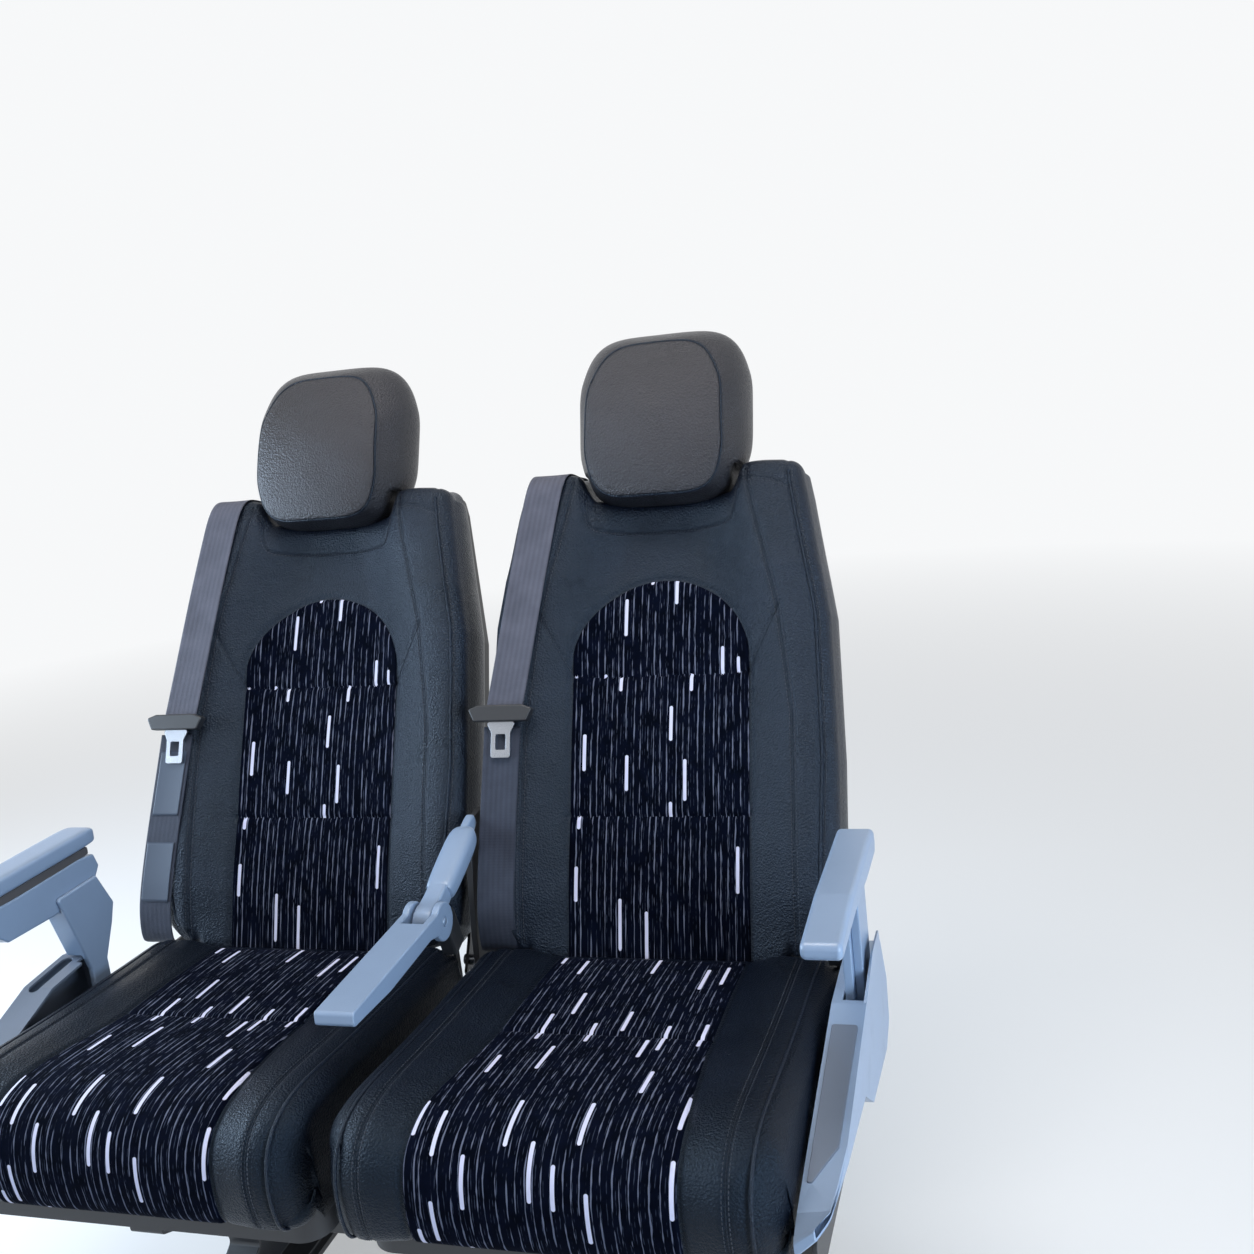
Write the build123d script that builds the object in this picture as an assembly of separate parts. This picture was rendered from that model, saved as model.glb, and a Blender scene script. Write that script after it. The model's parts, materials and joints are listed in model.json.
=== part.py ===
from build123d import *
import os
from math import cos, radians, sin

# Twin reclining coach seat: two backs with headrests and three-point belts, two cushions,
# an aisle armrest that drops, a centre armrest that swings up and a fixed window armrest.
# Frame: +X to the aisle, -Y the way the sitter looks, +Z up, millimetres.
# Origin: on the floor, at the centre of the four floor bolts.

# Layout
cushion_width = 456
cushion_gap = 27            # between the two cushions
seat_pitch = cushion_width + cushion_gap
junction_y = 90             # where the back's face meets the cushion's top
junction_z = 440
back_angle = 24             # the upright back, from vertical
pivot_y = 130               # recline hinge line
pivot_z = 395

# Floor legs and cross tubes
leg_spacing = 600
foot_length = 430
foot_width = 64
foot_thick = 8
floor_bolt_spacing = 360
floor_bolt_r = 5.5
tube_size = 40
tube_wall = 3
front_tube_y = -230
rear_tube_y = 62
tube_bottom_z = 262
leg_width = 44
leg_wall = 4

# Cushions and their pans
cushion_front_y = -370
cushion_rear_y = 70
cushion_top_front = 462
cushion_bottom_z = 340
pan_wall = 3
pan_inset = 12
soft_gap = 0.3

# Backs, in the back's own frame: across, up the back, and proud of the fabric
pad_half_width = cushion_width / 2 + 2
shoulder_half_width = 181
pad_bottom = -8
pad_tail = -34              # the pad's lower lip, behind the cushion
pad_top = 611
pad_top_front = 586         # where the top begins to slope back
pad_rear = -45
bolster_proud = 32
insert_half_width = 118
notch_half_width = 98
notch_bottom = 575
shell_gap = 1
shell_inset = 13
shell_depth = 49
shell_wall = 4
shell_rear_r = 16

# Recline hinge
side_plate_thick = 5
side_plate_x = cushion_width / 2 + 2    # inner face, from the seat's centre
centre_plate_thick = 8
bracket_thick = 4
bracket_x = side_plate_x - shell_inset - shell_wall - bracket_thick - 3      # inside the shell's walls
pivot_r = 7
pivot_clearance = 0.3
bracket_r = 19

# Headrest
head_half_width = 120
head_bottom = 560
head_top = 800
head_front = 60
head_rear = -62
head_corner_r = 44
head_gap = 0.5

# Belts
webbing_width = 50
webbing_thick = 2
webbing_clear = 1
tongue_t = 285
belt_top_x = -notch_half_width - webbing_width / 2 - 24
guide_height = 4
belt_tongue_x = -pad_half_width + 30
lap_bottom_x = {"window": -pad_half_width + 2, "aisle": -pad_half_width + 23}

# Aisle shroud and its sliding armrest, across from the side plate
shroud_width = 37
shroud_wall = 3
column_from_plate = 12      # from the side plate to the post
column_width = 20
arm_pad_width = 40
arm_top_z = 627
arm_pad_height = 30
arm_rear_y = 16
arm_front_y = -254
arm_travel = 60
column_front_y = -48
column_rear_y = 24
post_width = 10
post_rear_y = 10
cover_front_y = -34
slot_clear = 1.2
slot_front_clear = 14
guide_clear = 0.5
guide_wall = 1.2

# Centre armrest
centre_pivot_y = -34
centre_pivot_z = 528
centre_arm_width = 46
centre_arm_length = 234
centre_boss_r = 23
tongue_half = 13
fork_clear = 1
fork_depth = 38

# Window armrest
window_arm_width = 44
window_arm_top = 628
window_arm_rear_y = 16
window_cover_width = 42

# Worked out from the above
seat_x = seat_pitch / 2
outer_plate_x = seat_x + side_plate_x                           # outer plates' inner faces
shroud_inner_x = outer_plate_x + side_plate_thick
shroud_outer_x = shroud_inner_x + shroud_width
column_low = shroud_inner_x + column_from_plate
column_high = column_low + column_width
arm_centre_x = column_low + 16
window_arm_x = -shroud_inner_x - window_arm_width / 2 - 4
tube_top_z = tube_bottom_z + tube_size
pan_top_z = cushion_bottom_z - soft_gap
shell_rear = pad_rear - shell_gap - shell_depth
lean_sin, lean_cos = sin(radians(back_angle)), cos(radians(back_angle))


def closed(points, radius):
    """A face whose corners are rounded by one radius, or by a list with one radius for each."""
    if not isinstance(radius, list) and radius > 0:
        return make_face(FilletPolyline(*points, radius=radius, close=True))
    face = make_face(Polyline(*points, close=True))
    for point, size in zip(points, radius or []):
        if size:
            face = fillet(face.vertices().sort_by_distance(Vector(*point))[0], size)
    return face


def side_prism(points, radius, x_low, x_high):
    """An outline drawn in the side view, run across from x_low to x_high."""
    return extrude(Plane.YZ.offset(x_low) * closed(points, radius), x_high - x_low)


def front_prism(points, radius, low, high):
    """An outline drawn flat (across, along), run up from low to high."""
    return extrude(Plane.XY.offset(low) * closed(points, radius), high - low)


def block(x, y, z):
    """A box from three (low, high) pairs."""
    size = [high - low for low, high in (x, y, z)]
    mid = [(high + low) / 2 for low, high in (x, y, z)]
    return Pos(*mid) * Box(*size)


def rod(x_low, x_high, y, z, radius):
    """A round bar along X."""
    return extrude(Plane.YZ.offset(x_low) * Pos(y, z) * Circle(radius), x_high - x_low)


def on_back(shape, centre_x):
    """Moves a shape from a back's own frame to its place on the seat."""
    plane = Plane(origin=(centre_x, junction_y, junction_z), x_dir=(1, 0, 0), z_dir=(0, -lean_cos, lean_sin))
    return plane.location * shape


def to_back(y, z):
    """Where a point of the side view lies in a back's frame: up the back, and proud of it."""
    dy, dz = y - junction_y, z - junction_z
    return dy * lean_sin + dz * lean_cos, -dy * lean_cos + dz * lean_sin


pivot_t, pivot_w = to_back(pivot_y, pivot_z)
guide_w = pad_rear - shell_gap - 20                             # where the belt comes up through the shell
plate_w_low, plate_w_high = shell_rear + shell_wall + 12, pad_rear - 5

parts = {}

# Floor legs: pressed channels on foot plates, under two square cross tubes.
leg_half_foot = foot_length / 2 - 10
leg_outline = [
    (-leg_half_foot, foot_thick), (leg_half_foot, foot_thick), (leg_half_foot, foot_thick + 14),
    (62, 100), (46, 160), (rear_tube_y + 20, 232), (rear_tube_y + 20, tube_bottom_z),
    (front_tube_y - 20, tube_bottom_z), (front_tube_y - 20, 238), (-96, 165), (-84, 100),
    (-leg_half_foot, foot_thick + 14),
]


def leg(side):
    """A channel open to the seat's middle, with one lightening hole in its web."""
    outer_x = side * (leg_spacing / 2 + leg_width / 2)
    low, high = sorted((outer_x, outer_x - side * leg_width))
    body = side_prism(leg_outline, 6, low, high)
    inner = offset(closed(leg_outline, 6), amount=-leg_wall)
    shift = low - 1 if side > 0 else low + leg_wall
    body -= extrude(Plane.YZ.offset(shift) * inner, leg_width - leg_wall + 1)
    hole = Plane.YZ.offset(low - 1) * Pos(-30, 195) * SlotOverall(120, 46)
    return body - extrude(hole, leg_width + 2)


def foot(side):
    """A floor plate with its two bolt holes."""
    plate = Pos(side * leg_spacing / 2, 0, 0) * extrude(RectangleRounded(foot_width, foot_length, 12), foot_thick)
    for end in (-1, 1):
        plate -= Pos(side * leg_spacing / 2, end * floor_bolt_spacing / 2, foot_thick / 2) * Cylinder(
            floor_bolt_r, foot_thick * 2)
    return plate


for name, side in (("window", -1), ("aisle", 1)):
    parts[name + "_leg"] = leg(side) - Pos(side * leg_spacing / 2, 0, 0) * block(
        (-9, 9), (floor_bolt_spacing / 2 - 9, floor_bolt_spacing / 2 + 9), (foot_thick, foot_thick + leg_wall))
    parts[name + "_foot"] = foot(side)

for name, y in (("front_tube", front_tube_y), ("rear_tube", rear_tube_y)):
    half = tube_size / 2
    tube = block((-outer_plate_x, outer_plate_x), (y - half, y + half), (tube_bottom_z, tube_top_z))
    inside = half - tube_wall
    parts[name] = tube - block((-outer_plate_x - 1, outer_plate_x + 1), (y - inside, y + inside),
                               (tube_bottom_z + tube_wall, tube_top_z - tube_wall))

# Side plates: they close the tubes' ends and carry the recline pivots.
plate_outline = [
    (front_tube_y - 28, tube_bottom_z - 4), (rear_tube_y + 30, tube_bottom_z - 4), (pivot_y + 25, pivot_z - 30),
    (pivot_y + 25, pivot_z + 20), (pivot_y - 25, pivot_z + 20), (rear_tube_y + 10, tube_top_z + 22),
    (front_tube_y - 28, tube_top_z + 6),
]
lug_top = 384               # lugs on the outer plates hold the side covers and the armrest's guide
pivot_hole = rod(-outer_plate_x - 20, outer_plate_x + 20, pivot_y, pivot_z, pivot_r)
for name, low in (("window_side_plate", -outer_plate_x - side_plate_thick), ("aisle_side_plate", outer_plate_x)):
    plate = side_prism(plate_outline, 12, low, low + side_plate_thick)
    for y in (-200, -45):
        plate += side_prism([(y, tube_top_z), (y + 50, tube_top_z), (y + 50, lug_top), (y, lug_top)], 6,
                            low, low + side_plate_thick)
    parts[name] = plate - pivot_hole

# Centre plate: it also rises between the backs to carry the centre armrest's sleeve.
half_plate = centre_plate_thick / 2
sleeve_rear_y, sleeve_rear_z = 118, 590
mast = [
    (72, tube_top_z), (118, tube_top_z), (128, 430), (sleeve_rear_y + 42, sleeve_rear_z - 14),
    (sleeve_rear_y + 42, sleeve_rear_z + 10), (sleeve_rear_y - 10, sleeve_rear_z + 4), (84, 450),
]
centre_plate = side_prism(plate_outline, 12, -half_plate, half_plate) + side_prism(mast, 6, -half_plate, half_plate)
for y in (front_tube_y, rear_tube_y):
    half = tube_size / 2
    centre_plate -= block((-half_plate - 1, half_plate + 1), (y - half, y + half), (tube_bottom_z, tube_top_z))
parts["centre_plate"] = centre_plate - pivot_hole

# Pivot bolts, one at each outer plate and one through the centre plate
bolts = []
reach = seat_x + bracket_x - 4
bolts.append(rod(-outer_plate_x - side_plate_thick, -reach, pivot_y, pivot_z, pivot_r))
bolts.append(rod(reach, outer_plate_x + side_plate_thick, pivot_y, pivot_z, pivot_r))
inner_reach = seat_x - bracket_x + 4
bolts.append(rod(-inner_reach, inner_reach, pivot_y, pivot_z, pivot_r))
parts["pivot_bolts"] = Compound(children=[bolt for bolt in bolts])

# Cushions and pans
cushion_side = [
    (cushion_rear_y, cushion_bottom_z), (cushion_rear_y, junction_z), (-280, cushion_top_front),
    (cushion_front_y + 4, cushion_top_front - 30), (cushion_front_y + 6, cushion_bottom_z + 6),
    (cushion_front_y + 34, cushion_bottom_z),
]
cushion_mid_y = (cushion_front_y + cushion_rear_y) / 2
cushion_length = cushion_rear_y - cushion_front_y


def cushion(centre_x):
    """A waterfall-front seat cushion with rolled edges."""
    half = cushion_width / 2
    body = side_prism(cushion_side, [0, 0, 60, 60, 20, 0], -half, half)
    plan = Plane.XY.offset(cushion_bottom_z - 1) * Pos(0, cushion_mid_y) * RectangleRounded(
        cushion_width, cushion_length, 40)
    body = body & extrude(plan, cushion_top_front - cushion_bottom_z + 2)
    rim = [edge for edge in body.edges() if edge.center().Z > junction_z - 40]
    return Pos(centre_x, 0, 0) * fillet(rim, 16)


pan_front = cushion_front_y + 50
pan_half = cushion_width / 2 - pan_inset


def pan(centre_x):
    """An upturned tray under the cushion, stiffened by ribs that rest on the cross tubes."""
    length = cushion_rear_y - 10 - pan_front
    tray = extrude(Plane.XY.offset(tube_top_z) * RectangleRounded(2 * pan_half, length, 30), pan_top_z - tube_top_z)
    inside = extrude(Plane.XY.offset(tube_top_z - 1) * RectangleRounded(
        2 * (pan_half - pan_wall), length - 2 * pan_wall, 30 - pan_wall), pan_top_z - tube_top_z + 1 - pan_wall)
    tray -= inside
    for x in (-pan_half / 2, 0, pan_half / 2):
        tray += block((x - 1.5, x + 1.5), (-length / 2 + 1, length / 2 - 1), (tube_top_z, pan_top_z - 1))
    return Pos(centre_x, (pan_front + cushion_rear_y - 10) / 2, 0) * tray


# Back pad, in the back's frame
half_outline = [
    (pad_half_width - 34, pad_bottom), (pad_half_width, pad_bottom + 40), (pad_half_width, 225),
    (pad_half_width - 6, 400), (shoulder_half_width + 8, pad_top_front), (shoulder_half_width, pad_top),
]
tail = [(pad_half_width - 74, pad_tail), (pad_half_width - 66, pad_bottom)]
notch = [(notch_half_width + 8, pad_top), (notch_half_width, notch_bottom)]


def mirrored(points):
    """The points, then the same points on the other side in turn."""
    return points + [(-x, y) for x, y in reversed(points)]


pad_side = [
    (pad_tail, pad_rear), (pad_tail, 4), (pad_bottom, 8), (40, 26), (110, bolster_proud), (470, bolster_proud),
    (pad_top_front, 20), (pad_top - 4, -22), (pad_top, pad_rear),
]
# The channel between the bolsters, deepest at the head of the fabric
channel_side = [
    (pad_tail - 20, -2), (pad_bottom, 0), (60, 3), (160, 2), (330, -4), (470, -18), (pad_top + 20, -6),
    (pad_top + 20, 80), (pad_tail - 20, 80),
]


def back_pad():
    """The upholstered pad: raised bolsters either side of a shallow channel."""
    body = front_prism(mirrored(tail + half_outline + notch), 8, pad_rear - 1, bolster_proud + 20)
    body = body & side_prism(pad_side, 5, -pad_half_width - 5, pad_half_width + 5)
    channel = side_prism(channel_side, 5, -insert_half_width - 16, insert_half_width + 16)
    return body - channel


def back_shell():
    """The moulded rear shell, open to the pad."""
    half = [(x - shell_inset, t) for x, t in half_outline] + [(notch_half_width + 12, pad_top), (
        notch_half_width + 8, notch_bottom)]
    face = closed(mirrored(half), 8)
    front = pad_rear - shell_gap
    outer = extrude(Plane.XY.offset(shell_rear) * face, front - shell_rear)
    outer = fillet(outer.faces().sort_by(Axis.Z)[0].edges(), shell_rear_r)
    hollow = extrude(Plane.XY.offset(shell_rear + shell_wall) * offset(face, amount=-shell_wall), shell_depth)
    hollow = fillet(hollow.faces().sort_by(Axis.Z)[0].edges(), shell_rear_r - shell_wall)
    body = outer - hollow
    body -= block((belt_top_x - webbing_width / 2 - 2, belt_top_x + webbing_width / 2 + 2),
                  (pad_top - 32, pad_top + 1), (guide_w - 5, guide_w + 5))
    for side in (-1, 1):
        mid = side * (bracket_x + bracket_thick / 2)
        body -= block((mid - bracket_thick / 2 - 1, mid + bracket_thick / 2 + 1), (pad_bottom - 1, 50),
                      (plate_w_low - 1, front + 1))
    return body


def headrest():
    """A deep pad, narrower at its front and chin, that hangs over the back's neck notch."""
    side = [
        (head_bottom, 26), (head_bottom + 6, 48), (head_bottom + 90, head_front), (head_bottom + 160, head_front - 6),
        (head_top - 20, 32), (head_top, -4), (head_top - 8, -38), (head_top - 40, head_rear + 6),
        (head_bottom + 100, head_rear), (head_bottom + 45, head_rear + 14), (head_bottom, head_rear + 20),
    ]
    body = side_prism(side, 8, -head_half_width, head_half_width)
    front = [(head_half_width - 22, head_bottom), (head_half_width, head_bottom + 90),
             (head_half_width - 20, head_top)]
    body = body & front_prism(mirrored(front), [head_corner_r, 60, head_corner_r, head_corner_r, 60, head_corner_r],
                              head_rear - 5, head_front + 5)
    plan = [(-head_half_width + 22, head_front), (-head_half_width, 6), (-head_half_width, -16),
            (-head_half_width + 20, head_rear)]
    plan = closed(plan + [(-x, w) for x, w in reversed(plan)], 16)
    body = body & extrude(Plane.XZ.offset(-head_top - 5) * plan, head_top - head_bottom + 10)
    under = block((-200, 200), (head_bottom - 20, pad_top + 3), (head_rear - 20, 25))
    stub = block((-notch_half_width + 4, notch_half_width - 4), (notch_bottom + head_gap, pad_top + 4),
                 (head_rear - 20, 25))
    return body - (under - stub)


def strap(path, low_x, high_x, low_t, high_t):
    """A ribbon along a side-view path, slanted across the back between two heights."""
    ribbon = extrude(Plane.YZ.offset(-320) * trace(path, line_width=webbing_thick), 300)
    half = webbing_width / 2
    lean = (high_x - low_x) / (high_t - low_t)
    bottom, top = low_t - 60, high_t + 60
    x_bottom, x_top = low_x + lean * (bottom - low_t), low_x + lean * (top - low_t)
    band = make_face(Polyline((x_bottom - half, bottom), (x_bottom + half, bottom), (x_top + half, top),
                              (x_top - half, top), close=True))
    return ribbon & extrude(Plane.XY.offset(-120) * band, 240)


off = webbing_clear + webbing_thick / 2
shoulder_path = FilletPolyline(
    (pad_top - 12, guide_w), (pad_top + guide_height + 4, guide_w), (pad_top + off, -22 + off),
    (pad_top_front + off, 20 + off), (470, bolster_proud + off), (tongue_t - 6, bolster_proud + off), radius=6)
lap_path = FilletPolyline(
    (tongue_t - 14, bolster_proud + off), (110, bolster_proud + off), (40, 26 + off), (pad_bottom - off, 9.6),
    (pad_bottom - off, pad_rear), radius=3)

ledge_top = pad_bottom - webbing_clear - webbing_thick
lap_fold_x = side_plate_x - 2      # the lap strap folds narrower than this, behind the pad


def hinge_plates():
    """Two steel plates on the recline pivots, joined by a cross bar inside the shell."""
    top = 130
    w_low, w_high = plate_w_low, plate_w_high
    plate = [(pivot_t - bracket_r, pivot_w + 12), (pivot_t - bracket_r, pivot_w - 12), (0, w_low), (top, w_low),
             (top, w_high), (0, w_high)]
    body = None
    for side in (-1, 1):
        low = side * bracket_x if side > 0 else -bracket_x - bracket_thick
        one = side_prism(plate, 5, low, low + bracket_thick)
        one -= rod(low - 1, low + bracket_thick + 1, pivot_t, pivot_w, pivot_r + pivot_clearance)
        body = one if body is None else body + one
    bar = rod(-bracket_x, bracket_x, 60, (w_low + w_high) / 2, 10)
    bar -= rod(-bracket_x, bracket_x, 60, (w_low + w_high) / 2, 8)
    return body + bar


def belt_anchor(strap_x):
    """The lap strap's end plate, on the recline pivot."""
    low = -bracket_x - bracket_thick - 6
    plate = side_prism([(pivot_t - 16, pivot_w - 16), (ledge_top, pivot_w - 16), (ledge_top, pad_rear + 9),
                        (pivot_t - 4, pad_rear + 9)], 4, low, low + 3)
    ledge = block((max(strap_x - webbing_width / 2, -lap_fold_x), strap_x + webbing_width / 2),
                  (ledge_top - 3, ledge_top), (pad_rear, pad_rear + 9))
    return plate - rod(low - 1, low + 4, pivot_t, pivot_w, pivot_r + pivot_clearance) + ledge


def tongue_grip():
    """The wing-shaped grip moulded on the tongue."""
    wing = [(-44, 8), (-36, -8), (36, -8), (44, 8), (30, 13), (-30, 13)]
    low = bolster_proud + off + webbing_thick / 2 + soft_gap
    body = front_prism(wing, 3, low, low + 12)
    return Pos(belt_tongue_x, tongue_t, 0) * fillet(body.faces().sort_by(Axis.Z)[-1].edges(), 2)


def tongue_plate():
    """The steel tongue with its latch window."""
    low = bolster_proud + off + webbing_thick / 2 + soft_gap + 3
    plate = front_prism([(-20, -8), (-13, -22), (-13, -54), (13, -54), (13, -22), (20, -8)], 3, low, low + 2.5)
    plate -= front_prism([(-7, -24), (-7, -44), (7, -44), (7, -24)], 2, low - 1, low + 4)
    return Pos(belt_tongue_x, tongue_t, 0) * plate


def belt_guide():
    """The bezel that the shoulder strap comes up through, on the shell's top."""
    half_l, half_w = webbing_width / 2 + 8, 12
    low = pad_top + 0.2
    ring = block((-half_l, half_l), (low, low + guide_height), (guide_w - half_w, guide_w + half_w))
    slot = block((-half_l + 5, half_l - 5), (low - 1, low + 8), (guide_w - 5, guide_w + 5))
    return Pos(belt_top_x, 0, 0) * (ring - slot)


def pocket():
    """The pouch on the back's rear, open at its top."""
    depth, bottom, top, half = 26, 60, 250, 140
    outer = front_prism([(-half + 16, bottom), (half - 16, bottom), (half, top), (-half, top)], 12,
                        shell_rear - depth, shell_rear)
    inner = front_prism([(-half + 20, bottom + 4), (half - 20, bottom + 4), (half - 4, top + 30),
                         (-half + 4, top + 30)], 9, shell_rear - depth + 3, shell_rear + 1)
    return outer - inner


for name, centre_x in (("window", -seat_x), ("aisle", seat_x)):
    parts[name + "_cushion"] = cushion(centre_x)
    parts[name + "_cushion_pan"] = pan(centre_x)
    pieces = {
        "back_pad": back_pad(),
        "back_shell": back_shell(),
        "headrest": headrest(),
        "hinge_plates": hinge_plates(),
        "pocket": pocket(),
        "shoulder_strap": strap(shoulder_path, belt_tongue_x, belt_top_x, tongue_t, pad_top),
        "lap_strap": strap(lap_path, lap_bottom_x[name], belt_tongue_x, pad_bottom, tongue_t) - block(
            (-320, -lap_fold_x), (pad_bottom - 20, pad_bottom + 2), (pad_rear - 10, 4)),
        "tongue_grip": tongue_grip(),
        "tongue_plate": tongue_plate(),
        "belt_guide": belt_guide(),
        "belt_anchor": belt_anchor(lap_bottom_x[name]),
    }
    for piece, shape in pieces.items():
        parts[name + "_" + piece] = on_back(shape, centre_x)

# Buckles: each stands in the cushion's rear corner, on a strip from the side plate.
buckle_x = side_plate_x - 6
buckle_width = 20
buckle_y = 58


def buckle(centre_x):
    """A latch body that leans forward, with its stalk."""
    body = Pos(centre_x + buckle_x, buckle_y, 452) * Rot(20, 0, 0) * Pos(0, 0, 24) * Box(buckle_width, 30, 56)
    body = fillet(body.edges(), 3)
    stalk = block((centre_x + buckle_x - 2, centre_x + buckle_x + 2), (buckle_y - 1, buckle_y + 10), (tube_top_z, 448))
    return body + stalk


def button(centre_x):
    """The release button in the buckle's end."""
    return Pos(centre_x + buckle_x, buckle_y, 452) * Rot(20, 0, 0) * Pos(0, -2, 52 + 1.5) * Box(16, 18, 3)


for name, centre_x in (("window", -seat_x), ("aisle", seat_x)):
    parts[name + "_buckle"] = buckle(centre_x)
    parts[name + "_buckle_button"] = button(centre_x)

# Aisle shroud: a moulded shell with a sloping deck, a rounded nose and a fin beside the post.
deck_rear_y, deck_rear_z = -68, 460
deck_front_y, deck_front_z = -330, 394
fin_thick = 3.5
fin_lean = 8
fin_top_z = 522
shroud_low = [
    (-354, 364), (-120, 357), (-70, 345), (60, 334), (96, 352), (100, 404), (70, deck_rear_z + 6),
    (deck_rear_y, deck_rear_z), (deck_front_y, deck_front_z), (-356, 384),
]
fin = [(deck_rear_y, deck_rear_z - 20), (deck_rear_y, deck_rear_z - 2), (-22, fin_top_z), (30, fin_top_z),
       (74, deck_rear_z - 6), (74, deck_rear_z - 20)]
fin_front_view = [
    (shroud_outer_x - fin_thick, deck_rear_z - 20), (shroud_outer_x, deck_rear_z - 20),
    (shroud_outer_x, deck_rear_z - 2), (shroud_outer_x + fin_lean, fin_top_z + 1),
    (shroud_outer_x + fin_lean - fin_thick, fin_top_z + 1), (shroud_outer_x - fin_thick, deck_rear_z - 2),
]


def shroud():
    """The shell, with the opening that the armrest's post drops through."""
    body = side_prism(shroud_low, 6, shroud_inner_x, shroud_outer_x)
    inner = offset(closed(shroud_low, 6), amount=-shroud_wall)
    body -= extrude(Plane.YZ.offset(shroud_inner_x - 1) * inner, shroud_outer_x - shroud_wall - shroud_inner_x + 1)
    nose = [(shroud_inner_x - 2, 110), (shroud_inner_x - 2, -400), (shroud_outer_x - 20, -400),
            (shroud_outer_x - 18, -352), (shroud_outer_x - 6, -335), (shroud_outer_x, -250), (shroud_outer_x, 110)]
    body = body & front_prism(nose, [0, 0, 0, 12, 20, 60, 0], 280, 560)
    slab = extrude(Plane.XZ.offset(-110) * closed(fin_front_view, 0), 300)
    body += slab & side_prism(fin, 8, shroud_outer_x - fin_thick - 5, shroud_outer_x + fin_lean + 5)
    opening = block((column_low - slot_clear, column_high + slot_clear),
                    (column_front_y - slot_front_clear, column_rear_y + slot_clear), (420, 520))
    return body - opening


def inset_prism(clear):
    """The dark panel set in the deck, larger by a clearance where it is the recess."""
    low, high = shroud_inner_x + 4.5 - clear, shroud_outer_x - 5.5 + clear
    rear, front = -100 + clear, -297 - clear
    plan = front_prism([(low, rear), (high, rear), (high - 2, front + 42), (low + 5, front), (low, front)],
                       [3, 3, 3, 2, 2], 300, 520)
    slope = (deck_rear_z - deck_front_z) / (deck_rear_y - deck_front_y)
    z_at = lambda y: deck_front_z + slope * (y - deck_front_y)
    sheet = side_prism([(-80, z_at(-80) - 2.0), (-80, z_at(-80) + 1.5), (-310, z_at(-310) + 1.5),
                        (-310, z_at(-310) - 2.0)], 0.5, shroud_inner_x - 5, shroud_outer_x + 5)
    return plan & sheet


parts["aisle_shroud"] = shroud() - inset_prism(0.3)
parts["shroud_inset"] = inset_prism(0)

# Guide channel for the armrest's column, inside the shroud
guide_bottom, guide_top = 350, 439.5
guide_x = (column_low - guide_clear, column_high + guide_clear)
guide_y = (column_front_y - guide_clear, column_rear_y + guide_clear)
channel = block((guide_x[0] - guide_wall, guide_x[1] + guide_wall), (guide_y[0] - guide_wall, guide_y[1] + guide_wall),
                (guide_bottom, guide_top))
channel -= block(guide_x, guide_y, (guide_bottom - 1, guide_top + 1))
lug = block((outer_plate_x + side_plate_thick, guide_x[0] - guide_wall), (-30, -10), (guide_bottom, guide_bottom + 16))
parts["armrest_guide"] = channel + lug

# Aisle armrest: pad, cover panel and the post that slides in the guide
arm_low_z = arm_top_z - arm_pad_height
pad_low, pad_high = arm_centre_x - arm_pad_width / 2, arm_centre_x + arm_pad_width / 2
arm_side = [
    (arm_rear_y - 6, arm_low_z), (arm_rear_y, arm_low_z + 14), (arm_rear_y - 4, arm_top_z), (-160, arm_top_z),
    (arm_front_y, arm_top_z - 8), (arm_front_y, arm_low_z + 4), (-150, arm_low_z + 6), (-60, arm_low_z),
]
arm_pad = side_prism(arm_side, 8, pad_low, pad_high)
parts["aisle_arm_pad"] = fillet([e for e in arm_pad.edges() if abs(e.center().X - pad_low) < 0.1 or abs(
    e.center().X - pad_high) < 0.1], 6)
column_bottom = guide_bottom + arm_travel + 2
post_high = column_low + post_width
parts["aisle_arm_post"] = block((column_low, post_high), (column_front_y, post_rear_y), (column_bottom, arm_low_z))
cover_outline = [(cover_front_y, column_bottom), (column_rear_y, column_bottom), (column_rear_y - 6, arm_low_z),
                 (cover_front_y - 8, arm_low_z)]
parts["aisle_arm_cover"] = side_prism(cover_outline, 3, post_high, column_high)

# Centre armrest: a sleeve on the centre plate, and the arm that swings up from it
axis_dy, axis_dz = sleeve_rear_y - centre_pivot_y, sleeve_rear_z - centre_pivot_z
run = (axis_dy ** 2 + axis_dz ** 2) ** 0.5
uy, uz = axis_dy / run, axis_dz / run


def along(distance, offset_up):
    """A side-view point at a distance from the arm's pivot along the sleeve, and off its line."""
    return (centre_pivot_y + uy * distance - uz * offset_up, centre_pivot_z + uz * distance + uy * offset_up)


sleeve_tongue = side_prism([along(0, -14), along(60, -14), along(60, 14), along(0, 14)], 2, -tongue_half, tongue_half)
sleeve_tongue += rod(-tongue_half, tongue_half, centre_pivot_y, centre_pivot_z, 20)
sleeve = side_prism([along(fork_depth + 4, -14), along(run - 16, -16), along(run - 8, 16), along(fork_depth + 4, 14)],
                    4, -20, 20)
sleeve_all = sleeve_tongue + sleeve + side_prism([along(run - 30, -14), along(run + 8, -14), along(run + 8, 14),
                                                  along(run - 30, 14)], 4, -6.5, 6.5)
pin = rod(-centre_arm_width / 2, centre_arm_width / 2, centre_pivot_y, centre_pivot_z, 5)
parts["centre_arm_sleeve"] = sleeve_all - parts["centre_plate"] + pin

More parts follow.
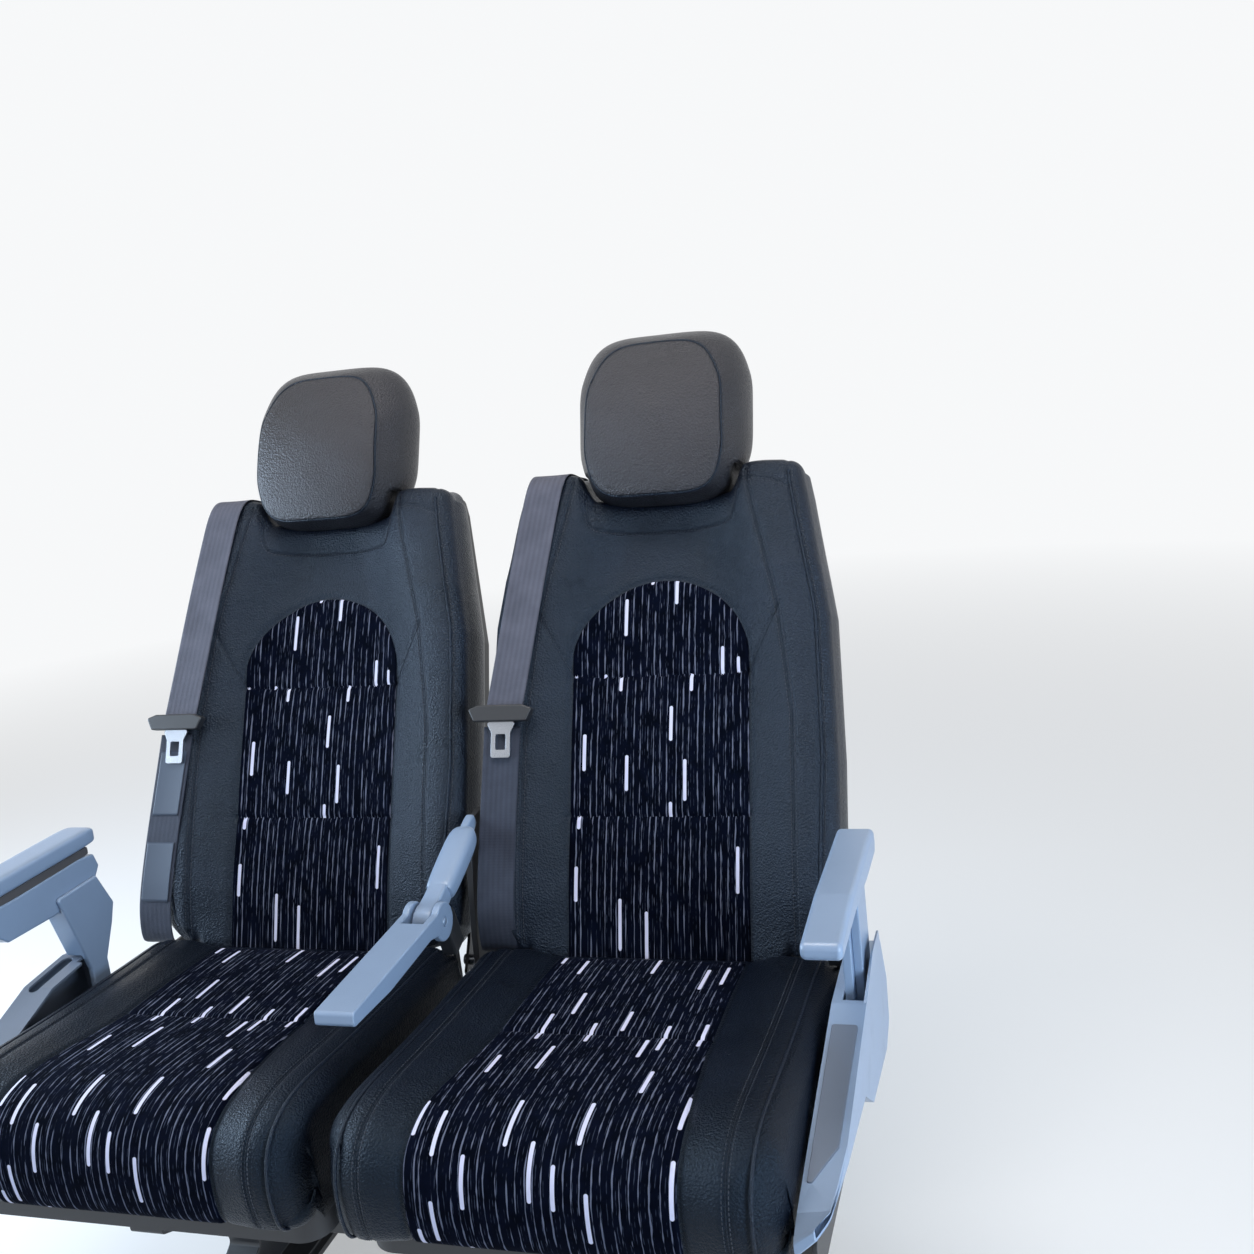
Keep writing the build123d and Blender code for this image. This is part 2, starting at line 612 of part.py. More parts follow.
arm_tip_y = centre_pivot_y - centre_arm_length
arm_outline = [
    (centre_pivot_y, centre_pivot_z + 17), (arm_tip_y + 2, centre_pivot_z + 9), (arm_tip_y, centre_pivot_z - 7),
    (arm_tip_y + 86, centre_pivot_z - 11), (centre_pivot_y - 40, centre_pivot_z - 5),
    (centre_pivot_y, centre_pivot_z - 14),
]
half_arm = centre_arm_width / 2
arm = side_prism(arm_outline, 5, -half_arm, half_arm)
arm += rod(-half_arm, half_arm, centre_pivot_y, centre_pivot_z, centre_boss_r)
arm -= block((-tongue_half - fork_clear, tongue_half + fork_clear),
             (centre_pivot_y - fork_depth, centre_pivot_y + 60), (centre_pivot_z - 60, centre_pivot_z + 60))
arm -= rod(-half_arm - 1, half_arm + 1, centre_pivot_y, centre_pivot_z, 5 + pivot_clearance)
parts["centre_armrest"] = arm

# Window armrest: pad, body and the bracket to the side plate, all fixed
w_low, w_high = window_arm_x - window_arm_width / 2, window_arm_x + window_arm_width / 2
rear, top = window_arm_rear_y, window_arm_top
pad_outline = [(rear - 4, top - 22), (rear, top), (rear - 262, top + 4), (rear - 268, top - 14),
               (rear - 160, top - 30), (rear - 36, top - 30)]
parts["window_arm_pad"] = side_prism(pad_outline, 5, w_low, w_high)
body_outline = [(rear - 20, top - 72), (rear - 4, top - 52), (rear - 10, top - 34), (rear - 36, top - 30.3),
                (rear - 160, top - 30.3), (rear - 240, top - 26), (rear - 180, top - 76), (rear - 100, top - 80)]
parts["window_arm_body"] = side_prism(body_outline, 4, w_low + 2, w_high - 2)
bracket_side = [(rear - 96, top - 60), (rear - 20, top - 60), (rear + 2, top - 106), (rear - 8, top - 130),
                (rear - 30, 458), (rear - 30, tube_bottom_z + 14), (rear - 62, tube_bottom_z + 14),
                (rear - 62, 458), (rear - 72, top - 138)]
bracket = side_prism(bracket_side, 4, w_high - 26, -shroud_inner_x)
stem = block((-shroud_inner_x - 8, -shroud_inner_x), (rear - 100, rear + 10), (tube_bottom_z, top - 40))
above = block((w_low, w_high - 2), (rear - 120, rear + 20), (478, top - 40))
parts["window_arm_bracket"] = (bracket & (above + stem)) - parts["window_arm_body"]

# Window side cover, with its oblong hand recess
cover_low_x, cover_high_x = -shroud_inner_x - window_cover_width, -shroud_inner_x
cover_side = [(-340, 342), (-300, 330), (-14, 312), (-14, 470), (-46, 476), (-120, 470), (-330, 394), (-352, 366)]
window_cover = side_prism(cover_side, 8, cover_low_x, cover_high_x)
inner = offset(closed(cover_side, 8), amount=-shroud_wall)
window_cover -= extrude(Plane.YZ.offset(cover_low_x + shroud_wall) * inner, 60)
window_cover -= block((-shroud_inner_x - 9, 0), (rear - 78, rear + 20), (200, 500))
recess = Plane.XY.offset(440) * Pos((cover_low_x + cover_high_x) / 2 - 5, -90) * SlotOverall(76, 16, rotation=90)
parts["window_cover"] = window_cover - extrude(recess, 60)

for name, shape in parts.items():
    export_step(shape, "parts/" + name + ".step")
    print(name, round(shape.volume / 1000, 1), "cm3")
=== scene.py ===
# %% [markdown]
# # Twin reclining coach seat
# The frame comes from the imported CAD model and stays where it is. Everything here dresses it:
# leather covers, striped fabric, seams, stitches, webbing, plastics and steel.

# %% Load the frame
import json
import math

import bmesh
import bpy
import numpy as np
from mathutils import Matrix, Vector


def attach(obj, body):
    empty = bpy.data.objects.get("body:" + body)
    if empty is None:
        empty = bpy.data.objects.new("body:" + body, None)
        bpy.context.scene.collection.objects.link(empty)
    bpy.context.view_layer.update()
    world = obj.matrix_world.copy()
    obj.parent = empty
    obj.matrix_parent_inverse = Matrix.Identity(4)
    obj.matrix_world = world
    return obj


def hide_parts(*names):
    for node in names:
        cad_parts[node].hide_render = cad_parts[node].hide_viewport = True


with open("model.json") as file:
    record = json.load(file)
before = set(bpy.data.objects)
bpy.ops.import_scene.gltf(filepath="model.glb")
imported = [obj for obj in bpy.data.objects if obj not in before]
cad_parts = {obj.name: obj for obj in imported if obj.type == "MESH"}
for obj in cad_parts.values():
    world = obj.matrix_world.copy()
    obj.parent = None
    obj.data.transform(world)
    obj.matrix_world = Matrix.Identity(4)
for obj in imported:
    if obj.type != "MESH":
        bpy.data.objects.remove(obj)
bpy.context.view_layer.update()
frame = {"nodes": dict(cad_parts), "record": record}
nodes = frame["nodes"]

# %% [markdown]
# ## Camera
# A picture is matched by one place, three angles and one focal length. They were fitted to the
# corners of the cushions, backs and armrests, for a square image of 1254 pixels.

# %% Camera
def look(place, yaw, pitch, roll, focal_pixels, image_pixels=1254):
    """A camera from its place and angles: forward is turned by yaw from +Y and tipped down by pitch."""
    yaw, pitch, roll = (math.radians(angle) for angle in (yaw, pitch, roll))
    forward = np.array([-math.sin(yaw) * math.cos(pitch), math.cos(yaw) * math.cos(pitch), -math.sin(pitch)])
    level = np.array([math.cos(yaw), math.sin(yaw), 0.0])
    above = np.cross(level, forward)
    right = math.cos(roll) * level + math.sin(roll) * above
    up = -math.sin(roll) * level + math.cos(roll) * above
    lens = bpy.data.cameras.new("camera")
    lens.sensor_fit, lens.sensor_width = "HORIZONTAL", 36
    lens.lens = 36 * focal_pixels / image_pixels
    lens.clip_start, lens.clip_end = 0.05, 60
    holder = bpy.data.objects.new("camera", lens)
    matrix = np.eye(4)
    matrix[:3, 0], matrix[:3, 1], matrix[:3, 2], matrix[:3, 3] = right, up, -forward, place
    holder.matrix_world = Matrix(matrix.tolist())
    bpy.context.scene.collection.objects.link(holder)
    bpy.context.scene.camera = holder
    print("lens", round(lens.lens, 2), "mm")


look((0.7206, -1.4009, 1.1931), 17.60, 12.60, -6.59, 1382.5)

# %% [markdown]
# ## Smooth curves from a few points
# An upholstered edge has no corners in it. A B-spline gives that: each point of the curve is a
# weighted mean of a few control points, so one table of weights serves curves and surfaces alike.

# %% Curves
def weights(count, at):
    """Clamped cubic B-spline weights: one row for each parameter from 0 to 1, one column a control point."""
    knots = np.concatenate([np.zeros(3), np.linspace(0, 1, count - 2), np.ones(3)])
    at = np.clip(at, 0, 1 - 1e-9)[:, None]
    share = ((knots[:-1] <= at) & (at < knots[1:])).astype(float)
    for power in (1, 2, 3):
        rise = (at - knots[:-power - 1]) / np.maximum(knots[power:-1] - knots[:-power - 1], 1e-12)
        fall = (knots[power + 1:] - at) / np.maximum(knots[power + 1:] - knots[1:-power], 1e-12)
        share = rise * share[:, :-1] + fall * share[:, 1:]
    return share


def evenly(points, step):
    """The points of a line at equal steps along it, and how far along each is."""
    run = np.concatenate([[0], np.cumsum(np.linalg.norm(np.diff(points, axis=0), axis=1))])
    even = np.linspace(0, run[-1], max(int(round(run[-1] / step)), 2) + 1)
    return np.column_stack([np.interp(even, run, column) for column in points.T]), even


def curve(controls, step=1.0):
    """The B-spline of some control points, in equal steps."""
    controls = np.asarray(controls, float)
    return evenly(weights(len(controls), np.linspace(0, 1, 80 * len(controls))) @ controls, step)


def smooth(low, high, value):
    """0 below low, 1 above high, and an easy S between."""
    share = np.clip((value - low) / (high - low), 0, 1)
    return share * share * (3 - 2 * share)


def ripple(x, s, size, seed):
    """Soft unevenness: the mean of eight slanted sine waves with seeded directions and phases."""
    dice = np.random.default_rng(seed)
    total = 0
    turns, phases, pitches = dice.uniform(0, np.pi, 8), dice.uniform(0, 6.28, 8), dice.uniform(0.7, 1.6, 8)
    for turn, phase, pitch in zip(turns, phases, pitches):
        total = total + np.sin((x * np.cos(turn) + s * np.sin(turn)) * 2 * np.pi / (size * pitch) + phase)
    return total / 8


def near(x, s, line):
    """The distance from each (x, s) to the nearest stretch of a line of points."""
    best = np.full(np.broadcast(x, s).shape, 1e9)
    for (x0, s0), (x1, s1) in zip(line[:-1], line[1:]):
        dx, ds = x1 - x0, s1 - s0
        share = np.clip(((x - x0) * dx + (s - s0) * ds) / (dx * dx + ds * ds), 0, 1)
        best = np.minimum(best, np.hypot(x - x0 - share * dx, s - s0 - share * ds))
    return best


# %% [markdown]
# ## From arrays to meshes
# A surface is a grid of points. Its faces are the grid's cells, and a grid whose border lies in
# one plane is closed by one face over that border, as a cushion's cover is closed underneath.

# %% Mesh makers
def make_piece(name, points, faces, body, slot, closed=False, uv=None):
    """A mesh object in metres riding on a body. A closed skin's faces are all turned to look outward."""
    mesh = bpy.data.meshes.new(name)
    mesh.from_pydata((np.asarray(points, float) / 1000).tolist(), [], faces)
    piece = bpy.data.objects.new(name, mesh)
    bpy.context.scene.collection.objects.link(piece)
    if uv is not None:
        layer = mesh.uv_layers.new(name="cloth")
        corner = np.zeros(len(mesh.loops), np.int64)
        mesh.loops.foreach_get("vertex_index", corner)
        layer.data.foreach_set("uv", (np.asarray(uv, float)[corner] / 1000).ravel())
    work = bmesh.new()
    work.from_mesh(mesh)
    bmesh.ops.remove_doubles(work, verts=work.verts, dist=2e-6)
    if closed:
        bmesh.ops.recalc_face_normals(work, faces=work.faces)
    work.to_mesh(mesh)
    work.free()
    mesh.polygons.foreach_set("use_smooth", np.ones(len(mesh.polygons), bool))
    mesh.update()
    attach(piece, body)
    return piece


def grid_faces(rows, columns, close_rows=False, start=0):
    """Cells of a grid of points, joined round where each row is a closed ring."""
    last = columns if close_rows else columns - 1
    j, i = np.meshgrid(np.arange(rows - 1), np.arange(last), indexing="ij")
    after = (i + 1) % columns
    this, above = j * columns, (j + 1) * columns
    cells = np.stack([this + i, this + after, above + after, above + i], -1)
    return (cells.reshape(-1, 4) + start).tolist()


def border(rows, columns):
    """The grid's outer border, once round."""
    index = np.arange(rows * columns).reshape(rows, columns)
    return np.concatenate([index[0, :-1], index[:-1, -1], index[-1, :0:-1], index[:0:-1, 0]]).tolist()


def tube(line, radius, sides=8, closed=False):
    """A round tube along points: a circle carried along in planes square to the line."""
    line = np.asarray(line, float)
    if closed:
        along = np.roll(line, -1, 0) - np.roll(line, 1, 0)
    else:
        along = np.gradient(line, axis=0)
    along /= np.linalg.norm(along, axis=1)[:, None]
    level = np.abs(along[:, 0]) >= 0.9
    guess = np.where(level[:, None], [[0, 1.0, 0]], [[1.0, 0, 0]])
    if level.any() and not level.all():
        guess = np.array([[0.3, 0.5, 0.81]])
    side = np.cross(along, guess)
    side /= np.linalg.norm(side, axis=1)[:, None]
    other = np.cross(along, side)
    turn = np.linspace(0, 2 * np.pi, sides, endpoint=False)
    ring = side[:, None] * np.cos(turn)[:, None] + other[:, None] * np.sin(turn)[:, None]
    points = (line[:, None] + ring * radius).reshape(-1, 3)
    faces = grid_faces(len(line), sides, True)
    if closed:
        last, first = (len(line) - 1) * sides, 0
        k = np.arange(sides)
        faces += np.stack([last + k, last + (k + 1) % sides, first + (k + 1) % sides, first + k], -1).tolist()
    else:
        faces += [list(range(sides)), list(range(len(points) - sides, len(points)))[::-1]]
    return points, faces


def join(shapes):
    """Several (points, faces) as one."""
    points, faces, start = [], [], 0
    for some, cells in shapes:
        points.append(some)
        faces += [[index + start for index in cell] for cell in cells]
        start += len(some)
    return np.concatenate(points), faces


# %% [markdown]
# ## Where a back's surface lies
# The back is drawn in its own frame: x across, t up the back, w out of it. One turn by the
# back's angle puts it on the seat, so both backs come from one set of numbers.

# %% Places
SEAT_PITCH = 483
BACK_ANGLE = math.radians(24)
JUNCTION = np.array([0, 90.0, 440.0])
SEATS = {"window": -SEAT_PITCH / 2, "aisle": SEAT_PITCH / 2}
PAD_TOP, PAD_BOTTOM, PAD_REAR = 611, -8, -45


def on_back(x, t, w, centre):
    """Back-frame points as seat points: up the lean for t, forward and up for w."""
    lean_sin, lean_cos = math.sin(BACK_ANGLE), math.cos(BACK_ANGLE)
    return np.stack([x + centre, JUNCTION[1] + t * lean_sin - w * lean_cos,
                     JUNCTION[2] + t * lean_cos + w * lean_sin], -1)


# %% [markdown]
# ## One cover, two parameters
# Foam under tight leather is a side-view path carried across. Each point is the path at s, moved
# out along the path's normal by a height that depends on x and s. The height holds the bolsters,
# the crown between seams and the seams' grooves, so leather, fabric, piping and stitches can all
# ask the same function where the surface is.

# %% Cover
class Cover:
    """An upholstered form. Its grid runs along the side-view path and across it; each side edge
    rolls over a quarter of an ellipse and goes on as a wall to the flat closed side."""

    def __init__(self, controls, turn, half_width, roll, drop, height, floor, floor_range, place):
        self.path, self.run = curve(controls)
        along = np.gradient(self.path, axis=0)
        along /= np.linalg.norm(along, axis=1)[:, None]
        self.normal = turn * np.stack([-along[:, 1], along[:, 0]], -1)
        self.half_width, self.roll, self.drop, self.height = half_width, roll, drop, height
        self.floor, self.floor_range, self.place = floor, floor_range, place

    def flat(self, x, s, lift=0.0):
        """(x, p, q) of the surface, before it is placed: path, plus normal times height and lift."""
        out = self.height(self, x, s) + lift
        p = np.interp(s, self.run, self.path[:, 0]) + np.interp(s, self.run, self.normal[:, 0]) * out
        q = np.interp(s, self.run, self.path[:, 1]) + np.interp(s, self.run, self.normal[:, 1]) * out
        return x + 0 * p, p, q

    def at(self, x, s, lift=0.0):
        return self.place(*self.flat(x, s, lift))

    def outward(self, x, s):
        """The surface's normal, from two small steps."""
        step_x = self.at(x + 0.5, s) - self.at(x - 0.5, s)
        step_s = self.at(x, s + 0.5) - self.at(x, s - 0.5)
        normal = np.cross(step_x, step_s)
        normal /= np.linalg.norm(normal, axis=1)[:, None]
        towards = self.at(x, s, 1.0) - self.at(x, s)
        return normal * np.sign((normal * towards).sum(1))[:, None]

    def skin(self, row_step, flat_cells, roll_cells=9, wall_cells=7, bulge=3.0):
        """The whole closed cover as points and faces."""
        s = np.linspace(0, self.run[-1], int(self.run[-1] / row_step) + 1)
        bend = np.sin(np.linspace(0, np.pi / 2, roll_cells + 1))[1:]
        a = np.concatenate([-np.ones(roll_cells), np.linspace(-1, 1, flat_cells + 1), np.ones(roll_cells)])
        b = np.concatenate([-bend[::-1], np.zeros(flat_cells + 1), bend])
        half, roll, drop = (measure(self, s)[:, None] for measure in (self.half_width, self.roll, self.drop))
        x, p, q = self.flat(a * (half - roll) + b * roll, s[:, None], -drop * (1 - np.sqrt(1 - b ** 2)))
        share = np.linspace(0, 1, wall_cells + 1)[1:]
        sides = []
        for column in (0, -1):
            end_x, end_p, end_q = x[:, column, None], p[:, column, None], q[:, column, None]
            base_p = np.clip(end_p, *self.floor_range)
            swell = bulge * np.sin(np.pi * share) * smooth(0, 30, np.abs(end_q - self.floor))
            sides.append((end_x + np.sign(end_x) * swell, end_p + (base_p - end_p) * share,
                          end_q + (self.floor - end_q) * share))
        x, p, q = (np.concatenate([left[:, ::-1], middle, right], 1)
                   for left, middle, right in zip(sides[0], (x, p, q), sides[1]))
        rows, columns = x.shape
        faces = grid_faces(rows, columns)
        faces.append(border(rows, columns)[::-1])
        return self.place(x, p, q).reshape(-1, 3), faces


# %% [markdown]
# ## The back's form
# Two bolsters stand proud of a shallow channel that holds the fabric. They lean in towards the
# head, and a neck notch dips at the top for the headrest.

# %% Back form
BACK_HALF = ([-8, 20, 60, 225, 400, 560, 586, 611], [198, 220, 227, 227, 220, 193, 187, 180])
BOLSTER_SEAM = ([-8, 8, 278, 410, 500, 590, 611], [175, 175, 173, 156, 136, 114, 110])
BACK_ROLL = ([-8, 118, 228, 378, 580, 611], [26, 22, 18, 17, 18, 18])
CHANNEL = ([-60, 0, 60, 160, 330, 462, 530, 584, 611], [0, 0, 4, 2, -4, -17, -13, -5, -30])
BOLSTER = ([-8, 10, 60, 120, 470, 550, 584, 600, 611], [6, 14, 26, 29, 28, 24, 19, 2, -20])
TAIL_HALF, TAIL_DROP = 160, 25
INSERT_HALF, ARCH_FOOT, ARCH_TOP = 118, 345, 463


def back_t(cover, s):
    """Height up the back at a run s along the path."""
    return np.interp(s, cover.run, cover.path[:, 0])


def facing(cover, s):
    """1 where the path faces forward, falling to 0 round the top and bottom."""
    return smooth(0.25, 0.95, np.interp(s, cover.run, cover.normal[:, 1]))


def arch(x):
    """The height at which the fabric ends: an ellipse over the channel."""
    return ARCH_FOOT + (ARCH_TOP - ARCH_FOOT) * np.sqrt(np.clip(1 - (x / INSERT_HALF) ** 2, 0, 1))


arch_x = INSERT_HALF * np.sin(np.linspace(-np.pi / 2, np.pi / 2, 25))
INSERT_LINE = [(-INSERT_HALF, -2)] + list(zip(arch_x, arch(arch_x))) + [(INSERT_HALF, -2)]
CROSS_SEAMS = [[(-INSERT_HALF, t), (INSERT_HALF, t)] for t in (158, 336)]
BOLSTER_LINE = list(zip(np.interp(np.linspace(2, 586, 60), *BOLSTER_SEAM), np.linspace(2, 586, 60)))
V_LINE = [(119, 343), (158, 412)]
TOP_LINE = [(100, 583), (150, 578), (172, 570)]
NECK_LINE = [tuple(point) for point in curve(
    [(-100, 586), (-98, 570), (-94, 546), (-82, 538), (-40, 535), (0, 535), (40, 535), (82, 538), (94, 546),
     (98, 570), (100, 586)], 8)[0]]


def groove(x, t, line, depth, half):
    """A seam's valley: a bell-shaped dip along a line."""
    return depth * np.exp(-(near(x, t, line) / half) ** 2)


def back_height(cover, x, s):
    """An S from channel to bolster, a crown between the seams and three puffs, less the seams' grooves."""
    t = back_t(cover, s)
    front = facing(cover, s)
    seam = np.interp(t, *BOLSTER_SEAM)
    far = np.abs(x)
    crest = np.interp(t, *BOLSTER) - np.interp(t, *CHANNEL)
    rise = smooth(seam - 92, seam + 10, far)
    edge = np.interp(t, *BACK_HALF) - np.interp(t, *BACK_ROLL)
    crown = 4.0 * np.clip(1 - ((far - (seam + edge) / 2) / ((edge - seam) / 2 + 6)) ** 2, 0, 1)
    quilt = np.abs(np.sin(np.pi * np.interp(t, [0, 158, 336, 470], [0, 1, 2, 2.7])))
    puff = 3.0 * quilt * np.clip(1 - (x / 150) ** 4, 0, 1)
    out = front * (crest * rise + crown + puff + 0.55 * ripple(x, s, 90, 4))
    out = out - groove(far, t, BOLSTER_LINE, 2.2, 3.2) - groove(far, t, V_LINE, 1.8, 2.6)
    out = out - groove(x, t, INSERT_LINE, 2.6, 3.4) - groove(x, t, NECK_LINE, 1.8, 2.8)
    out = out - 2.0 * front * np.exp(-((far - edge) / 3.2) ** 2)
    for line in CROSS_SEAMS:
        out = out - groove(x, t, line, 2.2, 3.0)
    return out - groove(far, t, TOP_LINE, 2.0, 2.8)


BACK_PATH = [(-8, -45), (-8, -28), (-8, -8), (-7, 0), (8, 2), (60, 3), (160, 2), (330, -4), (420, -12),
             (470, -17), (530, -12), (566, -6), (584, -4), (593, -10), (599, -20), (605, -32), (611, -45)]


def back_cover(centre):
    """The cover of one back, with the neck notch pressed into its top."""
    def place(x, t, w):
        dip = smooth(113, 90, np.abs(x)) * smooth(500, 600, t)
        tail = smooth(TAIL_HALF + 6, TAIL_HALF - 10, np.abs(x)) * smooth(30, -8, t)
        return on_back(x, t - 30 * dip - TAIL_DROP * tail, w - 7 * dip, centre)
    return Cover(BACK_PATH, 1, lambda cover, s: np.interp(back_t(cover, s), *BACK_HALF),
                 lambda cover, s: np.interp(back_t(cover, s), *BACK_ROLL),
                 lambda cover, s: 14 + 8 * facing(cover, s), back_height,
                 PAD_REAR, (PAD_BOTTOM, PAD_TOP - 1), place)


# %% [markdown]
# ## The cushion's form
# The seat cushion falls over its front edge like a waterfall. Its fabric widens towards the knees
# and runs down the nose, between leather sides that stand a little higher.

# %% Cushion form
CUSHION_HALF, CUSHION_REAR, CUSHION_FRONT, CUSHION_BASE = 228, 70, -370, 340
CUSHION_PATH = [(70, 340), (70, 385), (70, 424), (66, 440), (46, 443), (-60, 447), (-170, 453), (-258, 462),
                (-316, 464), (-357, 448), (-373, 412), (-371, 372), (-364, 346), (-342, 340), (-336, 340)]
STITCHED_X, PIPED_X, CROSS_SEAM = 181, 204, 300


def nose(cover, s):
    """0 on the top, 1 on the front face."""
    return smooth(0.2, 0.9, -np.interp(s, cover.run, cover.normal[:, 0]))


def back_wall(cover, s):
    """0 on the top, 1 on the rear face."""
    return smooth(0.2, 0.9, np.interp(s, cover.run, cover.normal[:, 0]))


def insert_half(s):
    """Half the fabric's width along the cushion: 118 mm at the back, 138 mm at the nose."""
    return np.interp(s, [90, 330, 470, 640], [118, 122, 136, 139])


def cushion_height(cover, x, s):
    """A crown across, sides 9 mm above the fabric, less the seams' grooves."""
    far = np.abs(x)
    half = insert_half(s)
    up = 1 - back_wall(cover, s)
    lower = 1 - smooth(520, 640, s)
    dish = 9 * smooth(half - 4, half + 44, far) - 5 * smooth(185, 228, far)
    quilt = np.abs(np.sin(np.pi * np.interp(s, [100, CROSS_SEAM, 560], [0, 1, 2])))
    puff = 3.5 * quilt * np.clip(1 - (x / 170) ** 4, 0, 1)
    out = up * (dish * (0.35 + 0.65 * lower) + puff + 0.6 * ripple(x, s, 100, 9)) - 1.5 * up
    out = out - up * 2.6 * np.exp(-((far - half) / 3.4) ** 2)
    out = out - up * 2.0 * np.exp(-((far - STITCHED_X) / 3.0) ** 2)
    out = out - up * 2.0 * np.exp(-((far - PIPED_X) / 3.2) ** 2)
    return out - up * 2.2 * np.exp(-((s - CROSS_SEAM) / 3.0) ** 2) * (far < half)


def cushion_cover(centre):
    """The cushion's cover: its rounding and its underside are broader at the nose than behind."""
    return Cover(CUSHION_PATH, -1, lambda cover, s: CUSHION_HALF + 0 * s,
                 lambda cover, s: 24 + 22 * nose(cover, s),
                 lambda cover, s: 20 + 24 * nose(cover, s) - 6 * back_wall(cover, s), cushion_height,
                 CUSHION_BASE, (CUSHION_FRONT + 46, CUSHION_REAR),
                 lambda x, y, z: np.stack([x + centre, y + 0 * x, z + 0 * x], -1))


# %% [markdown]
# ## Leather covers
# Each cover is one closed grid of about 50,000 cells, fine enough for the seams to be real valleys.

# %% Covers
backs = {name: back_cover(centre) for name, centre in SEATS.items()}
cushions = {name: cushion_cover(centre) for name, centre in SEATS.items()}
leather = []
for name in SEATS:
    points, faces = backs[name].skin(2.6, 158)
    piece = make_piece(name + "_back_leather", points, faces, name + "_back", "black_leather", closed=True)
    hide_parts(name + "_back_pad")
    leather.append(piece)
    points, faces = cushions[name].skin(2.8, 150)
    piece = make_piece(name + "_cushion_leather", points, faces, "frame", "black_leather", closed=True)
    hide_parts(name + "_cushion")
    leather.append(piece)
    print(name, "covers:", [len(one.data.polygons) for one in leather[-2:]], "cells")

# %% [markdown]
# ## Striped fabric
# The fabric lies a millimetre over the foam between the seams and dips into the groove round its
# edge. Its own UV map is in metres of cloth, so the stripes keep their size over every bend. Each
# panel sewn on a back is cut separately, so its stripes start a little to one side of the last
# panel's. A cushion's fabric is one cut, and its seam is only a valley.

# %% Fabric panels
def fabric_panel(name, cover, half, ends, seams, shifts, body, rows, columns):
    """Fabric between x = -half and half and s = ends. Columns crowd at the edges, and every edge tucks in."""
    u = np.sin(np.linspace(-np.pi / 2, np.pi / 2, columns + 1))
    v = np.linspace(0, 1, rows + 1)[:, None]
    low, high = ends
    x_mid = u * INSERT_HALF
    s = low(x_mid) + v * (high(x_mid) - low(x_mid))
    x = u * half(s)
    rim = np.minimum(half(s) - np.abs(x), np.minimum(s - low(x_mid) + 30, high(x_mid) - s))
    lift = 1.0 - 2.4 * np.exp(-(np.clip(rim, 0, None) / 2.4) ** 2)
    points = cover.at(x, s, lift).reshape(-1, 3)
    uv = np.stack([x, s], -1).reshape(-1, 2)
    piece = make_piece(name, points, grid_faces(rows + 1, columns + 1), body, "stripe_fabric", uv=uv)
    flat = np.zeros(len(piece.data.loops) * 2)
    layer = piece.data.uv_layers["cloth"].data
    layer.foreach_get("uv", flat)
    flat = flat.reshape(-1, 4, 2)
    part = np.searchsorted(np.array(seams) / 1000, flat[:, :, 1].mean(1))
    flat += np.array(shifts)[part][:, None] / 1000
    layer.foreach_set("uv", flat.ravel())
    return piece


fabrics = []
for name in SEATS:
    cover = backs[name]
    front = np.flatnonzero(cover.normal[:, 1] > 0.8)

    def run_at(t, cover=cover, front=front):
        return np.interp(t, cover.path[front, 0], cover.run[front])

    cover.run_at = run_at
    piece = fabric_panel(name + "_back_fabric", cover, lambda s: INSERT_HALF + 0 * s,
                         (lambda x, at=run_at: at(3 + 0 * x), lambda x, at=run_at: at(arch(x))),
                         [run_at(158), run_at(336)], [(0, 0), (3.4, 61), (-2.7, 143)],
                         name + "_back", 190, 96)
    fabrics.append(piece)
    cover = cushions[name]
    piece = fabric_panel(name + "_cushion_fabric", cover, insert_half,
                         (lambda x: 112 + 0 * x, lambda x: 628 + 0 * x), [], [(-2.2, 371)],
                         "frame", 200, 100)
    fabrics.append(piece)
print("fabric:", [len(one.data.polygons) for one in fabrics], "cells")

# %% [markdown]
# ## Headrests
# A headrest is a front panel, a gusset round it and a rear panel. Each is a closed outline at its
# own depth, and a B-spline through the outlines makes the skin. Outlines set close together keep
# the piped edge of the front panel crisp.

# %% Headrest form
def outline(bottom, top, low_half, mid_half, top_half, squareness, count=132):
    """A closed outline: a squared oval whose half width follows three widths from bottom to top."""
    turn = np.linspace(0, 2 * np.pi, 721)[:-1]
    power = 2 / squareness
    up = np.sign(np.sin(turn)) * np.abs(np.sin(turn)) ** power
    side = np.sign(np.cos(turn)) * np.abs(np.cos(turn)) ** power
    half = np.interp(up, [-1, -0.15, 0.2, 1], [low_half, mid_half, mid_half, top_half])
    half = np.convolve(np.concatenate([half[-20:], half, half[:20]]), np.ones(41) / 41, "valid")
    line = np.stack([side * half, (top + bottom) / 2 + up * (top - bottom) / 2], -1)
    line = np.concatenate([line, line[:1]])
    run = np.concatenate([[0], np.cumsum(np.linalg.norm(np.diff(line, axis=0), axis=1))])
    even = np.linspace(0, run[-1], count + 1)[:-1]
    return np.stack([np.interp(even, run, line[:, 0]), np.interp(even, run, line[:, 1])], -1)


def face_w(x, t):
    """How far forward the front panel stands: fullest a third of the way up, curved across."""
    return 61 - 0.0019 * (t - 658) ** 2 - 13 * (x / 105) ** 2


head_rings = []
HEAD_MIDDLE = np.array([0, 668.0])
for share, forward in ((0.0, 0), (0.35, 0), (0.7, 0), (0.93, 0), (1.0, -1.0), (1.0, -2.5)):
    flat = HEAD_MIDDLE + (outline(563, 767, 84, 92, 70, 4.8) - HEAD_MIDDLE) * share
    head_rings.append(np.column_stack([flat, face_w(flat[:, 0], flat[:, 1]) + forward]))
